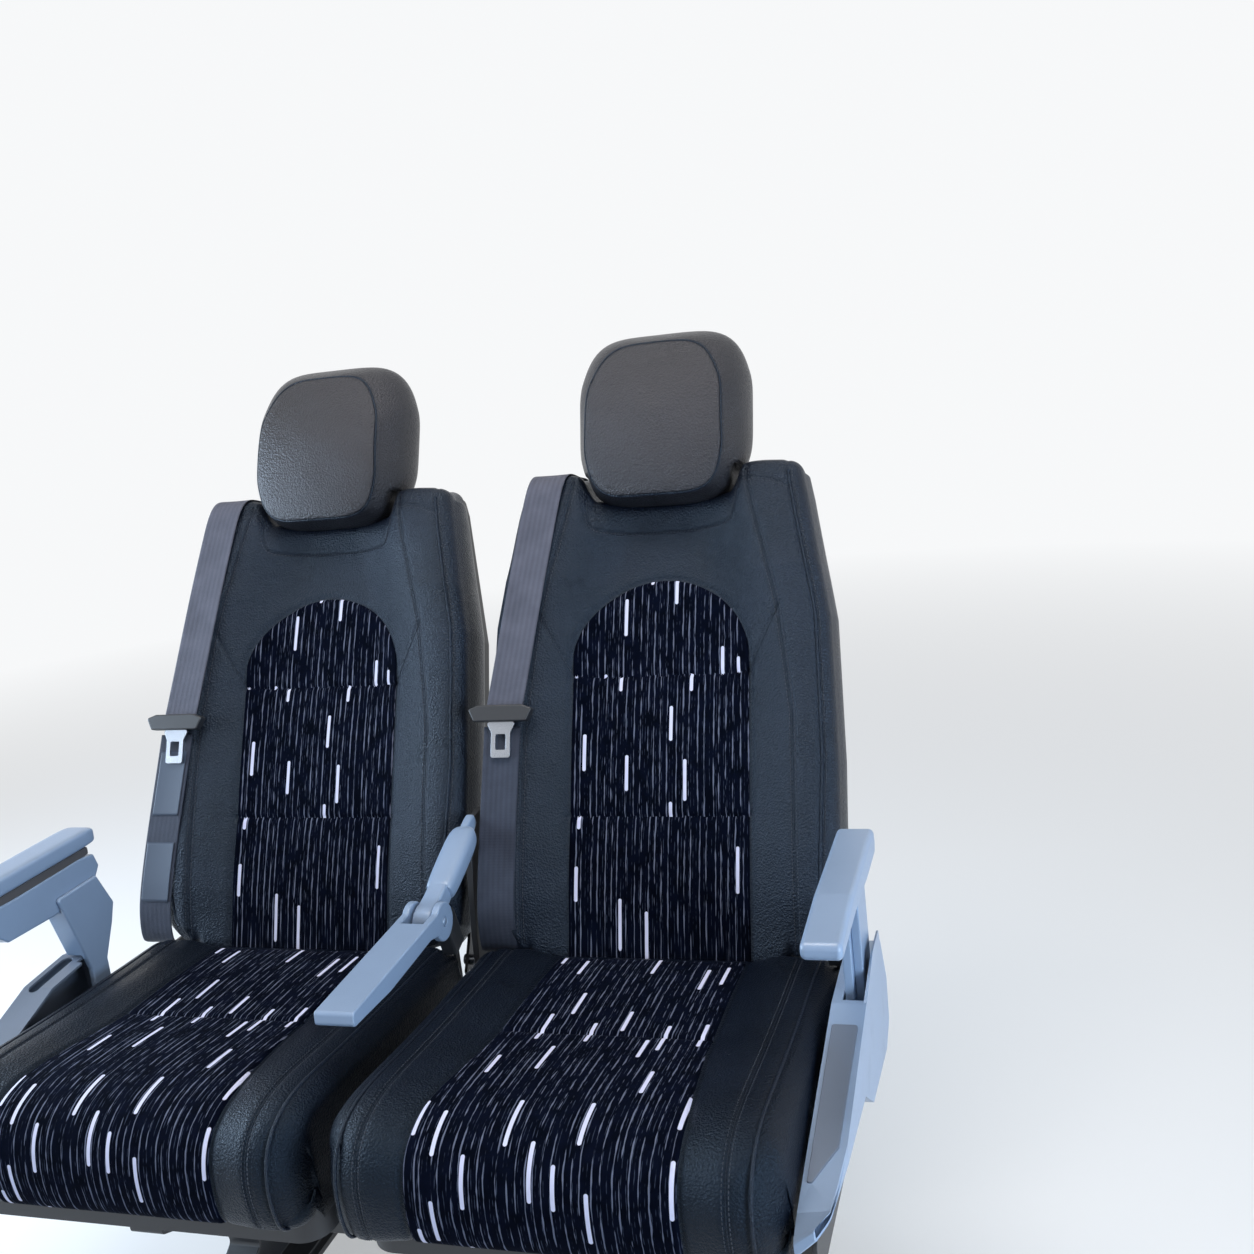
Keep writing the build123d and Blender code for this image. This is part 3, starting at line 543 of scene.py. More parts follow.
# Bottom, top, three half widths, place forward and squareness of each outline behind the seam
GUSSET = ((561, 775, 92, 102, 82, 36, 4.8), (560, 788, 98, 113, 95, 18, 4.8),
          (560, 797, 102, 119, 104, -8, 4.8), (564, 797, 101, 119, 104, -34, 4.6),
          (572, 787, 92, 110, 94, -56, 4.4), (590, 770, 76, 94, 78, -62, 4.2))
for bottom, top, low, mid, high, w, square in GUSSET:
    ring = outline(bottom, top, low, mid, high, square)
    below, over = np.clip(ring[:, 1], 0, 700) - 700, np.clip(ring[:, 1] - 700, 0, 100)
    lean = w + 0.10 * below * (w > 0) - 0.10 * over * (w > 0)
    head_rings.append(np.column_stack([ring, lean]))
for share in (0.6, 0.25, 0.0):
    ring = HEAD_MIDDLE + (outline(590, 770, 76, 94, 78, 4.2) - HEAD_MIDDLE) * share
    head_rings.append(np.column_stack([ring, np.full(len(ring), -62.0)]))
head_rings = np.array(head_rings)
HEAD_SEAM = 4.5 / (len(head_rings) - 1)


def head_surface(at):
    """The headrest's points at ring parameters from 0, the front's middle, to 1, the rear's."""
    return np.einsum("ij,jkl->ikl", weights(len(head_rings), at), head_rings)


heads = []
for name, centre in SEATS.items():
    at = np.linspace(0, 1, 92)
    skin = head_surface(at)
    sunk = 1.8 * np.exp(-((at - HEAD_SEAM) / 0.012) ** 2)
    middle = skin.mean(1, keepdims=True) - [0, 0, 20]
    inward = middle - skin
    skin = skin + inward / np.maximum(np.linalg.norm(inward, axis=2, keepdims=True), 1) * sunk[:, None, None]
    skin[..., 2] += 0.5 * ripple(skin[..., 0], skin[..., 1], 70, 5)
    stub = smooth(612, 588, skin[..., 1]) * smooth(24, 8, skin[..., 2])
    low_share = stub * np.clip(610 - skin[..., 1], 0, 60)
    skin[..., 1] = skin[..., 1] + low_share * smooth(90, 100, np.abs(skin[..., 0]))
    points = on_back(skin[..., 0], skin[..., 1], skin[..., 2], centre).reshape(-1, 3)
    piece = make_piece(name + "_headrest_leather", points, grid_faces(len(at), skin.shape[1], True),
                       name + "_back", "black_leather", closed=True)
    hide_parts(name + "_headrest")
    heads.append(piece)
every_ring = head_rings.reshape(-1, 3)
print("headrest span:", np.round(every_ring.min(0)), np.round(every_ring.max(0)))

# %% [markdown]
# ## Piping and stitches
# Piping is a thin tube lying in its seam. A stitch is a small plump grain, hundreds of them in a
# row, so it has only a dozen or so faces, and each is turned to follow the seam and the surface.

# %% Seam makers
GRAIN = np.array([[-1, 0.25], [-0.55, 1], [0.55, 1], [1, 0.25]])


def stitches(places, normals, pitch=4.7, length=3.3, thick=0.5):
    """Grains along a line: each is a short four-sided barrel along the line, half sunk in the surface."""
    line = evenly(np.hstack([places, normals]), pitch)[0]
    middle = (line[:-1] + line[1:]) / 2
    along = np.diff(line[:, :3], axis=0)
    along /= np.linalg.norm(along, axis=1)[:, None]
    up = middle[:, 3:] / np.linalg.norm(middle[:, 3:], axis=1)[:, None]
    across = np.cross(up, along)
    turn = np.linspace(0, 2 * np.pi, 4, endpoint=False) + np.pi / 4
    round_y, round_z = (np.outer(GRAIN[:, 1], wave(turn)).ravel() * thick for wave in (np.cos, np.sin))
    barrel = np.stack([np.repeat(GRAIN[:, 0], 4) * length / 2, round_y, round_z], -1)
    frames = np.stack([along, across, up], 1)
    points = middle[:, None, :3] + np.einsum("ij,njk->nik", barrel, frames)
    cell = np.array(grid_faces(4, 4, True))
    ends = np.array([[0, 1, 2, 3][::-1], [12, 13, 14, 15]])
    cells = np.concatenate([cell, ends])
    shifts = np.arange(len(middle)) * 16
    return points.reshape(-1, 3), (cells[None] + shifts[:, None, None]).reshape(-1, 4).tolist()


def on_cover(cover, line, lift, step=3.0):
    """Points and normals along a line of (x, s) on a cover."""
    line = evenly(np.asarray(line, float), step)[0]
    return cover.at(line[:, 0], line[:, 1], lift), cover.outward(line[:, 0], line[:, 1])


def beside(line, gap):
    """A line moved sideways by a gap, in its own plane."""
    line = evenly(np.asarray(line, float), 4)[0]
    along = np.gradient(line, axis=0)
    along /= np.linalg.norm(along, axis=1)[:, None]
    return line + gap * np.stack([along[:, 1], -along[:, 0]], -1)


# %% Seams on the backs
def to_run(cover, line):
    """A line of (x, height) as (x, run along the path)."""
    line = np.asarray(line, float)
    return np.stack([line[:, 0], cover.run_at(line[:, 1])], -1)


threads, pipes = [], []
for name in SEATS:
    cover = backs[name]
    rows, cords = [], []
    edge_t = np.linspace(14, 583, 120)
    edge_x = np.interp(edge_t, *BACK_HALF) - np.interp(edge_t, *BACK_ROLL)
    for side in (-1, 1):
        seam = to_run(cover, [(side * x, t) for x, t in BOLSTER_LINE])
        for gap in (-3.4, 3.4):
            rows.append(stitches(*on_cover(cover, beside(seam, gap), 0.1)))
        edge = to_run(cover, np.stack([side * edge_x, edge_t], -1))
        rows.append(stitches(*on_cover(cover, beside(edge, 5 * side), 0.1)))
        cords.append(tube(on_cover(cover, edge, 0.6)[0], 2.0))
        cords.append(tube(on_cover(cover, seam, 0.1)[0], 0.7, 6))
        cords.append(tube(on_cover(cover, to_run(cover, [(side * x, t) for x, t in V_LINE]), 0.1)[0], 0.7, 6))
        over = to_run(cover, [(side * x, t) for x, t in TOP_LINE])
        cords.append(tube(on_cover(cover, over, 0.1)[0], 0.8, 6))
        for gap in (-3.2, 3.2):
            rows.append(stitches(*on_cover(cover, beside(over, gap), 0.1)))
    neck = to_run(cover, NECK_LINE)
    cords.append(tube(on_cover(cover, neck, 0.1)[0], 0.8, 6))
    rows.append(stitches(*on_cover(cover, beside(neck, 3.4), 0.1)))
    threads.append(make_piece(name + "_back_stitches", *join(rows), name + "_back", "black_leather"))
    pipes.append(make_piece(name + "_back_piping", *join(cords), name + "_back", "black_leather"))

    cover = cushions[name]
    rows, cords = [], []
    along = np.linspace(112, 640, 150)
    for side in (-1, 1):
        for far in (STITCHED_X - 3.4, STITCHED_X + 3.4):
            rows.append(stitches(*on_cover(cover, np.stack([side * far + 0 * along, along], -1), 0.1)))
        seam = np.stack([side * STITCHED_X + 0 * along, along], -1)
        cords.append(tube(on_cover(cover, seam, 0.1)[0], 0.7, 6))
        edge = np.stack([side * PIPED_X + 0 * along, along], -1)
        cords.append(tube(on_cover(cover, edge, 0.6)[0], 1.9))
    threads.append(make_piece(name + "_cushion_stitches", *join(rows), "frame", "black_leather"))
    pipes.append(make_piece(name + "_cushion_piping", *join(cords), "frame", "black_leather"))

# %% Seams on the headrests
for name, centre in SEATS.items():
    ring = head_surface(np.array([HEAD_SEAM]))[0]
    pipe = on_back(ring[:, 0], ring[:, 1], ring[:, 2] - 0.4, centre)
    pipes.append(make_piece(name + "_headrest_piping", *tube(pipe, 1.7, 8, closed=True), name + "_back",
                            "black_leather"))
    near_ring, next_ring = head_surface(np.array([HEAD_SEAM + 0.035, HEAD_SEAM + 0.045]))
    places = on_back(*near_ring.T, centre)
    along = np.roll(places, -1, 0) - np.roll(places, 1, 0)
    normal = np.cross(along, on_back(*next_ring.T, centre) - places)
    normal /= np.linalg.norm(normal, axis=1)[:, None]
    outward = places - on_back(np.array([0.0]), np.array([685.0]), np.array([0.0]), centre)
    normal *= np.sign((normal * outward).sum(1))[:, None]
    threads.append(make_piece(name + "_headrest_stitches", *stitches(
        np.vstack([places, places[:1]]), np.vstack([normal, normal[:1]])), name + "_back", "black_leather"))
print("stitch cells:", sum(len(one.data.polygons) for one in threads))

# %% [markdown]
# ## Armrest shapes
# A moulded armrest is a row of rounded sections set along its length, each with its own middle,
# half width and half height, and the skin runs through them.

# %% Moulded arms
def section(count, square):
    """A unit squared circle, as (across, up)."""
    turn = np.linspace(0, 2 * np.pi, count, endpoint=False)
    return np.stack([np.sign(np.cos(turn)) * np.abs(np.cos(turn)) ** (2 / square),
                     np.sign(np.sin(turn)) * np.abs(np.sin(turn)) ** (2 / square)], -1)


def moulded(rows, square=4.0, count=48, step=60):
    """A closed skin through rows of (x, y, z, half width, half height), each square to the y-z path."""
    rows = np.asarray(rows, float)
    fine = weights(len(rows), np.linspace(0, 1, step)) @ rows
    along = np.gradient(fine[:, 1:3], axis=0)
    along /= np.linalg.norm(along, axis=1)[:, None]
    ring = section(count, square)
    across, up = ring[:, 0] * fine[:, 3:4], ring[:, 1] * fine[:, 4:5]
    points = np.stack([fine[:, 0:1] + across, fine[:, 1:2] - along[:, 1:2] * up * np.sign(along[:, 0:1]),
                       fine[:, 2:3] + np.abs(along[:, 0:1]) * up], -1)
    faces = grid_faces(len(fine), count, True)
    faces += [list(range(count)), list(range((len(fine) - 1) * count, len(fine) * count))[::-1]]
    return points.reshape(-1, 3), faces


ARM_PIVOT = np.array([-34.0, 528.0])
SLEEVE_WAY = np.array([152.0, 62.0]) / math.hypot(152, 62)


def along_sleeve(table):
    """Rows for moulded() from (distance from the pivot, half width, half height)."""
    return [(0, *(ARM_PIVOT + SLEEVE_WAY * far), wide, high) for far, wide, high in table]


sleeve_parts = [
    moulded(along_sleeve([(-19, 11.5, 4), (-16, 12, 11), (-8, 12.3, 17.5), (0, 12.3, 19), (10, 12.3, 17),
                          (22, 12.3, 13), (40, 12.3, 12.5), (52, 12.3, 12.5)]), 7),
    moulded(along_sleeve([(46, 15.5, 11.5), (47.5, 17, 13), (54, 17.8, 13.8), (80, 18.5, 14.5),
                          (110, 18.5, 14.5), (136, 18, 14.5), (148, 15, 12), (153, 8, 6)]), 3.2),
    tube([(-22.8, *ARM_PIVOT), (-10, *ARM_PIVOT), (10, *ARM_PIVOT), (22.8, *ARM_PIVOT)], 5, 24),
    moulded(along_sleeve([(140, 5.5, 10), (150, 5.5, 11), (165, 5.5, 11), (172, 5.5, 8)]), 5),
]
sleeve = make_piece("centre_arm_sleeve_skin", *join(sleeve_parts), "frame", "grey_plastic", closed=True)
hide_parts("centre_arm_sleeve")

print("sleeve:", len(sleeve.data.polygons), "cells")

# %% [markdown]
# ### Window armrest
# Its pad is slim, and a dark core shows between the pad and the body under it.

# %% Window armrest
WINDOW_ARM_X = -502.5
window_pad = make_piece("window_arm_pad_skin", *moulded(
    [(WINDOW_ARM_X, y, z, wide, high) for y, z, wide, high in (
        (15.5, 618, 17, 7), (14.5, 618, 20, 9.5), (9, 618.3, 21.6, 11), (-20, 618.8, 22, 11.4),
        (-80, 619.4, 22, 11.4), (-160, 620, 22, 11.4), (-225, 620.6, 22, 11.4), (-244, 620.4, 21.4, 10.8),
        (-250, 620, 19.6, 9), (-251.5, 619.8, 16, 6))], 5.5, 64), "frame", "grey_plastic", closed=True)
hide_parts("window_arm_pad")
window_core = make_piece("window_arm_core", *moulded(
    [(WINDOW_ARM_X, y, z, 18.5, high) for y, z, high in (
        (-2, 602, 5), (-6, 602, 6.5), (-60, 602, 6.8), (-150, 603, 6.5), (-205, 605, 5))], 8), "frame",
    "dark_grey_plastic", closed=True)
arm_parts = [sleeve, window_pad]
print("window arm:", [len(one.data.polygons) for one in (window_pad, window_core)], "cells")

# %% [markdown]
# ## The shroud's nose
# The moulded shroud beside the aisle seat ends in a rounded nose. The solid's hollow cuts through
# its outer wall there, so a block with about the nose's outline, just inside the deck's skin, fills
# part of the slot. It is a row of squared sections, like an armrest.

# %% Shroud nose
# The shroud's inner and outer faces, then the nose's outline seen from above
SHROUD_X, SHROUD_OUTER_X = 476.5, 513.5
NOSE_Y = np.array([-352.5, -349, -344, -335, -320, -300, -275, -250])
NOSE_OUT = np.array([493.6, 496.5, 501.5, 506.6, 509.2, 510.8, 512.2, 513.0])
NOSE_X, UNDER_DECK = 477, 2.4
nose_rows = []
for y, out in zip(NOSE_Y, NOSE_OUT):
    top = np.interp(y, [-354, -330, -68], [384.5, 394, 460]) - UNDER_DECK
    low = 365 + 33 * (out - SHROUD_X) / (SHROUD_OUTER_X - SHROUD_X)
    nose_rows.append(((out + NOSE_X) / 2, y, (top + low) / 2, (out - NOSE_X) / 2, (top - low) / 2))
arm_parts.append(make_piece("aisle_shroud_nose", *moulded(nose_rows, 14, 64), "frame", "grey_plastic",
                            closed=True))
print("nose:", len(arm_parts[-1].data.polygons), "cells")

# %% [markdown]
# ## Belts
# Webbing is a flat ribbon 50 mm wide. Its centre line is a side-view path whose place across the
# back changes from the shoulder to the tongue, and its cloth map keeps the ribs in line with it.

# %% Webbing
WEBBING = 50
TONGUE_T, TONGUE_X, BELT_TOP_X = 285, -200, -147
GUIDE_W = PAD_REAR - 21
SHOULDER = [(599, GUIDE_W), (612, GUIDE_W), (619, GUIDE_W), (619.5, -58), (616.5, -42), (612.5, -25),
            (611, -8), (608, 8.6), (602, 21.2), (588.5, 28.8), (570, 32), (545, 33), (470, 35.3), (400, 34.8),
            (340, 34.2), (300, 34.5), (279, 34.5)]
LAP = [(271, 34.5), (240, 34), (180, 34), (120, 33.5), (70, 31), (36, 27), (8, 17), (-7, 8), (-11, 0),
       (-11, -20), (-11, -45)]
LAP_BOTTOM = {"window": -228, "aisle": -207}


def webbing(name, path, x_at, centre, body, slot, half=WEBBING / 2, thick=1.4, node=None):
    """A ribbon: across from -half to half, along the path, doubled to its thickness with rounded edges."""
    line, run = curve(path, 4.0)
    t, w = line.T
    middle = x_at(t)
    around = np.array([-1, -0.985, -0.95, *np.linspace(-0.9, 0.9, 17), 0.95, 0.985, 1])
    shell = thick / 2 * np.sqrt(np.clip(1 - (np.abs(around) - 0.94).clip(0) ** 2 / 0.06 ** 2, 0, 1))
    across = np.concatenate([around, around[-2:0:-1]])
    height = np.concatenate([shell, -shell[-2:0:-1]])
    along = np.gradient(line, axis=0)
    along /= np.linalg.norm(along, axis=1)[:, None]
    normal = np.stack([-along[:, 1], along[:, 0]], -1)
    lift = height + 0.5 * (1 - across ** 2)
    points = on_back(middle[:, None] + across * half, t[:, None] + normal[:, :1] * lift,
                     w[:, None] + normal[:, 1:] * lift, centre)
    ring = len(across)
    faces = grid_faces(len(line), ring, True)
    faces += [list(range(ring))[::-1], list(range((len(line) - 1) * ring, len(line) * ring))]
    uv = np.stack([np.broadcast_to(across * half, (len(line), ring)),
                   np.broadcast_to(run[:, None], (len(line), ring))], -1)
    piece = make_piece(name, points.reshape(-1, 3), faces, body, slot, closed=True, uv=uv.reshape(-1, 2))
    if node:
        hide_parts(node)
    return piece


straps = []
for name, centre in SEATS.items():
    bottom = LAP_BOTTOM[name]
    straps.append(webbing(name + "_shoulder_webbing", SHOULDER, lambda t: np.interp(
        t, [TONGUE_T, PAD_TOP], [TONGUE_X, BELT_TOP_X]), centre, name + "_back", "grey_webbing",
        node=name + "_shoulder_strap"))
    straps.append(webbing(name + "_lap_webbing", LAP, lambda t, low=bottom: np.interp(
        t, [PAD_BOTTOM, TONGUE_T], [low, TONGUE_X]), centre, name + "_back", "black_webbing",
        node=name + "_lap_strap"))
print("webbing:", [len(one.data.polygons) for one in straps], "cells")

# %% [markdown]
# ### Labels
# Two blank labels are sewn to the window seat's lap strap. Each is a short, thin ribbon on it.

# %% Labels
labels = []
for number, (top, bottom, half) in enumerate(((248, 160, 20), (124, 44, 21))):
    heights = np.linspace(top, bottom, 7)
    line = [(t, np.interp(t, [36, 70, 120, 240], [28.6, 32.8, 35.2, 35.6])) for t in heights]
    labels.append(webbing("window_belt_label_%d" % number, line, lambda t: np.interp(
        t, [PAD_BOTTOM, TONGUE_T], [LAP_BOTTOM["window"], TONGUE_X]), SEATS["window"], "window_back",
        "dark_grey_plastic", half=half, thick=0.5))
print("labels:", len(labels))

# %% [markdown]
# ## Finishes
# Every finish is a small tree of nodes on Object coordinates or on the cloth map. A helper wires
# them, so each material below reads as a recipe.

# %% Wiring helper
class Recipe:
    """A material and short calls that add nodes to it."""

    def __init__(self, name, colour, roughness, metallic=0.0, **sockets):
        self.material = bpy.data.materials.new(name)
        self.material.use_nodes = True
        self.tree = self.material.node_tree
        self.shader = self.tree.nodes["Principled BSDF"]
        self.shader.inputs["Base Color"].default_value = (*colour, 1)
        self.shader.inputs["Roughness"].default_value = roughness
        self.shader.inputs["Metallic"].default_value = metallic
        for socket, value in sockets.items():
            self.shader.inputs[socket.replace("_", " ")].default_value = value
        self.coordinates = self.tree.nodes.new("ShaderNodeTexCoord")

    def put(self, socket, value):
        if isinstance(value, bpy.types.NodeSocket):
            self.tree.links.new(value, socket)
        elif value is not None:
            socket.default_value = value

    def node(self, kind, inputs, output=0, **settings):
        """One node, its inputs given by name or number as values or other nodes' outputs."""
        made = self.tree.nodes.new(kind)
        for key, value in settings.items():
            setattr(made, key, value)
        for key, value in inputs.items():
            self.put(made.inputs[key], value)
        return made.outputs[output]

    def math(self, operation, first, second=None):
        return self.node("ShaderNodeMath", {0: first, 1: second}, operation=operation)

    def object_space(self, scale=(1, 1, 1)):
        return self.node("ShaderNodeMapping", {"Vector": self.coordinates.outputs["Object"], "Scale": scale})

    def noise(self, vector, scale, detail=2.0, roughness=0.5):
        return self.node("ShaderNodeTexNoise", {"Vector": vector, "Scale": scale, "Detail": detail,
                                                "Roughness": roughness})

    def cells(self, vector, scale):
        """Distance to the nearest of many scattered points: round cells."""
        return self.node("ShaderNodeTexVoronoi", {"Vector": vector, "Scale": scale})

    def between(self, value, low, high, out_low=0.0, out_high=1.0):
        """A straight line from out_low at low to out_high at high, held level beyond both."""
        return self.node("ShaderNodeMapRange", {"Value": value, "From Min": low, "From Max": high,
                                                "To Min": out_low, "To Max": out_high})

    def mix(self, share, first, second):
        made = self.tree.nodes.new("ShaderNodeMix")
        made.data_type = "RGBA"
        for socket, value in zip((made.inputs[0], made.inputs[6], made.inputs[7]), (share, first, second)):
            self.put(socket, value)
        return made.outputs[2]

    def bump(self, height, distance, strength=1.0):
        return self.node("ShaderNodeBump", {"Height": height, "Distance": distance, "Strength": strength})

    def finish(self, colour=None, roughness=None, normal=None):
        for name, value in (("Base Color", colour), ("Roughness", roughness), ("Normal", normal)):
            if value is not None:
                self.tree.links.new(value, self.shader.inputs[name])
        return self.material


# %% [markdown]
# ### Leather
# Coach leather is coated hide with a fine pebbled grain. Small Voronoi cells, stretched and bent by
# noise, make the pebbles; a broad noise makes the handled places a touch smoother and paler.

# %% Leather
def leather_finish(name, dark, pale, grain_scale, rough, depth=0.0006, shine=0.30, tint=(1, 1, 1)):
    """Relief is 0.8 of the pebbles plus 0.5 of the creases; a broad noise sets the tone and the gloss."""
    recipe = Recipe(name, dark, rough, Specular_IOR_Level=shine)
    # The specular tint colours the reflections; a blue tint is a painted reflection of cool window light.
    recipe.shader.inputs["Specular Tint"].default_value = (*tint, 1)
    space = recipe.object_space()
    warped = recipe.node("ShaderNodeVectorMath", {0: space, 1: recipe.node("ShaderNodeVectorMath", {
        0: recipe.node("ShaderNodeTexNoise", {"Vector": space, "Scale": 240, "Detail": 2.0}, 1),
        1: (0.0016, 0.0016, 0.0016)}, operation="MULTIPLY")}, operation="ADD")
    pebbles = recipe.cells(warped, grain_scale)
    creases = recipe.noise(warped, 1500, 3, 0.6)
    broad = recipe.noise(space, 9, 3, 0.6)
    height = recipe.math("ADD", recipe.math("MULTIPLY", pebbles, 0.8), recipe.math("MULTIPLY", creases, 0.5))
    colour = recipe.mix(recipe.between(broad, 0.35, 0.7), (*dark, 1), (*pale, 1))
    deep = tuple(c * 0.55 for c in dark) + (1,)
    worn = recipe.mix(recipe.between(pebbles, 0.1, 0.75, 0.0, 0.55), colour, deep)
    roughness = recipe.math("ADD", recipe.between(broad, 0.3, 0.75, rough - 0.05, rough + 0.07),
                            recipe.math("MULTIPLY", creases, 0.08))
    return recipe.finish(worn, roughness, recipe.bump(height, depth, 0.9))


# The blue specular tints on the two leathers below are painted reflections of cool window light.
black_leather = leather_finish("black_leather", (0.0045, 0.007, 0.0145), (0.012, 0.0165, 0.029),
                               400, 0.27, 0.0012, 0.27, (0.66, 0.83, 1.0))
# The cushions' copy of the leather is darker than the backs': painted shade on the same leather.
seat_leather = leather_finish("seat_leather", (0.0015, 0.003, 0.0075), (0.004, 0.0065, 0.014),
                              400, 0.27, 0.0012, 0.20, (0.55, 0.77, 1.0))
# The headrests' copy of the leather is paler and more neutral than the backs': painted light falling from
# above, on the same leather.
head_leather = leather_finish("head_leather", (0.015, 0.0148, 0.018), (0.024, 0.0235, 0.028),
                              380, 0.30, 0.0012, 0.38, (0.94, 0.94, 1.0))
# The thread is dark, but its colour here is much paler than the leather's: painted highlight, light catching
# the stitches.
thread = leather_finish("dark_thread", (0.045, 0.052, 0.068), (0.065, 0.074, 0.095), 2400, 0.6)

# %% [markdown]
# ### Striped fabric
# The weave has fine broken lines every few millimetres and short bright dashes here and there.
# A line is the distance to the middle of its column; noise stretched along the cloth breaks it.
# A dash is a capsule: the distance to a short segment in the middle of its own cell.

# %% Fabric
def stripe_finish():
    """Fine and strong broken lines, then dashes, each mixed over the last, on a dark ribbed pile."""
    recipe = Recipe("stripe_fabric", (0.008, 0.009, 0.018), 0.9, Specular_IOR_Level=0.03)
    recipe.shader.inputs["Specular Tint"].default_value = (0.35, 0.6, 1.0, 1)
    scaled = recipe.node("ShaderNodeMapping", {"Vector": recipe.coordinates.outputs["UV"],
                                               "Scale": (1000, 1000, 1000)})
    made = recipe.tree.nodes.new("ShaderNodeSeparateXYZ")
    recipe.put(made.inputs[0], scaled)
    across, along = made.outputs[0], made.outputs[1]

    def dice(first, second, seed):
        pair = recipe.node("ShaderNodeCombineXYZ", {0: first, 1: second, 2: seed})
        return recipe.node("ShaderNodeTexWhiteNoise", {"Vector": pair}, 0, noise_dimensions="3D")

    def streaks(pitch, half, low, stretch, seed):
        """Broken lines, one to a column: thin where the column's own noise is low, gone where it is lower."""
        column = recipe.math("FLOOR", recipe.math("DIVIDE", across, pitch))
        shift = recipe.math("MULTIPLY", recipe.math("SUBTRACT", dice(column, 0.0, seed), 0.5), pitch * 0.5)
        slow = recipe.noise(recipe.node("ShaderNodeCombineXYZ", {
            0: recipe.math("MULTIPLY", column, 7.3), 1: along, 2: seed}), 0.05, 1)
        wander = recipe.math("MULTIPLY", recipe.math("SUBTRACT", slow, 0.5), 2.2)
        middle = recipe.math("MULTIPLY", recipe.math("ADD", column, 0.5), pitch)
        away = recipe.math("ABSOLUTE", recipe.math("SUBTRACT", recipe.math("SUBTRACT", across, middle),
                                                   recipe.math("ADD", shift, wander)))
        broken = recipe.noise(recipe.node("ShaderNodeCombineXYZ", {0: recipe.math("MULTIPLY", column, 31.7),
                                                                  1: recipe.math("MULTIPLY", along, stretch),
                                                                  2: seed}), 1.0, 2, 0.7)
        width = recipe.between(broken, low, low + 0.22, 0.0, half)
        return recipe.math("MULTIPLY", recipe.node("ShaderNodeMapRange", {
            "Value": recipe.math("SUBTRACT", away, width), "From Min": -0.25, "From Max": 0.25, "To Min": 1.0,
            "To Max": 0.0}), recipe.between(broken, low, low + 0.06))

    fine = streaks(4.6, 0.55, 0.47, 0.055, 3.0)
    strong = streaks(9.4, 0.85, 0.40, 0.030, 11.0)
    pitch, cell = 29.4, 125.0
    column = recipe.math("FLOOR", recipe.math("DIVIDE", across, pitch))
    start = recipe.math("MULTIPLY", dice(column, 5.0, 1.0), cell)
    moved = recipe.math("ADD", along, start)
    row = recipe.math("FLOOR", recipe.math("DIVIDE", moved, cell))
    aside = recipe.math("MULTIPLY", recipe.math("SUBTRACT", dice(column, row, 2.0), 0.5), pitch * 0.55)
    column_middle = recipe.math("MULTIPLY", recipe.math("ADD", column, 0.5), pitch)
    off_x = recipe.math("ABSOLUTE", recipe.math("SUBTRACT", recipe.math("SUBTRACT", across, aside),
                                                column_middle))
    slide = recipe.math("MULTIPLY", recipe.math("SUBTRACT", dice(column, row, 7.0), 0.5), cell * 0.4)
    row_middle = recipe.math("MULTIPLY", recipe.math("ADD", row, 0.5), cell)
    off_s = recipe.math("ABSOLUTE", recipe.math("SUBTRACT", recipe.math("SUBTRACT", moved, slide),
                                                row_middle))
    reach = recipe.between(dice(column, row, 4.0), 0, 1, 18, 27)
    beyond = recipe.math("MAXIMUM", recipe.math("SUBTRACT", off_s, reach), 0.0)
    capsule = recipe.math("SQRT", recipe.math("ADD", recipe.math("MULTIPLY", beyond, beyond),
                                              recipe.math("MULTIPLY", off_x, off_x)))
    dash = recipe.math("MULTIPLY", recipe.between(capsule, 1.9, 2.4, 1.0, 0.0),
                       recipe.math("GREATER_THAN", dice(column, row, 9.0), 0.36))
    tone = recipe.noise(scaled, 0.05, 2)
    base = recipe.mix(recipe.between(tone, 0.35, 0.65), (0.0006, 0.0012, 0.0035, 1),
                      (0.0018, 0.003, 0.009, 1))
    colour = recipe.mix(fine, base, (0.040, 0.048, 0.076, 1))
    colour = recipe.mix(strong, colour, (0.145, 0.16, 0.225, 1))
    pile = recipe.noise(scaled, 1.6, 2)
    colour = recipe.mix(recipe.between(pile, 0.3, 0.75, 0.0, 0.35), colour, (0.004, 0.004, 0.008, 1))
    colour = recipe.mix(dash, colour, (0.62, 0.62, 0.78, 1))
    ribs = recipe.node("ShaderNodeTexWave", {"Vector": scaled, "Scale": 0.32, "Distortion": 0.6,
                                             "Detail": 1.0}, 1, bands_direction="X")
    height = recipe.math("ADD", recipe.math("MULTIPLY", pile, 0.6), recipe.math("ADD", recipe.math(
        "MULTIPLY", ribs, 0.25), recipe.math("MULTIPLY", dash, 0.5)))
    return recipe.finish(colour, None, recipe.bump(height, 0.0004, 0.8))


stripe_fabric = stripe_finish()

# %% [markdown]
# ### Webbing
# Belt webbing is a warp of thick lengthwise cords crossed by a fine weft. Cosines across and
# along the ribbon give both.

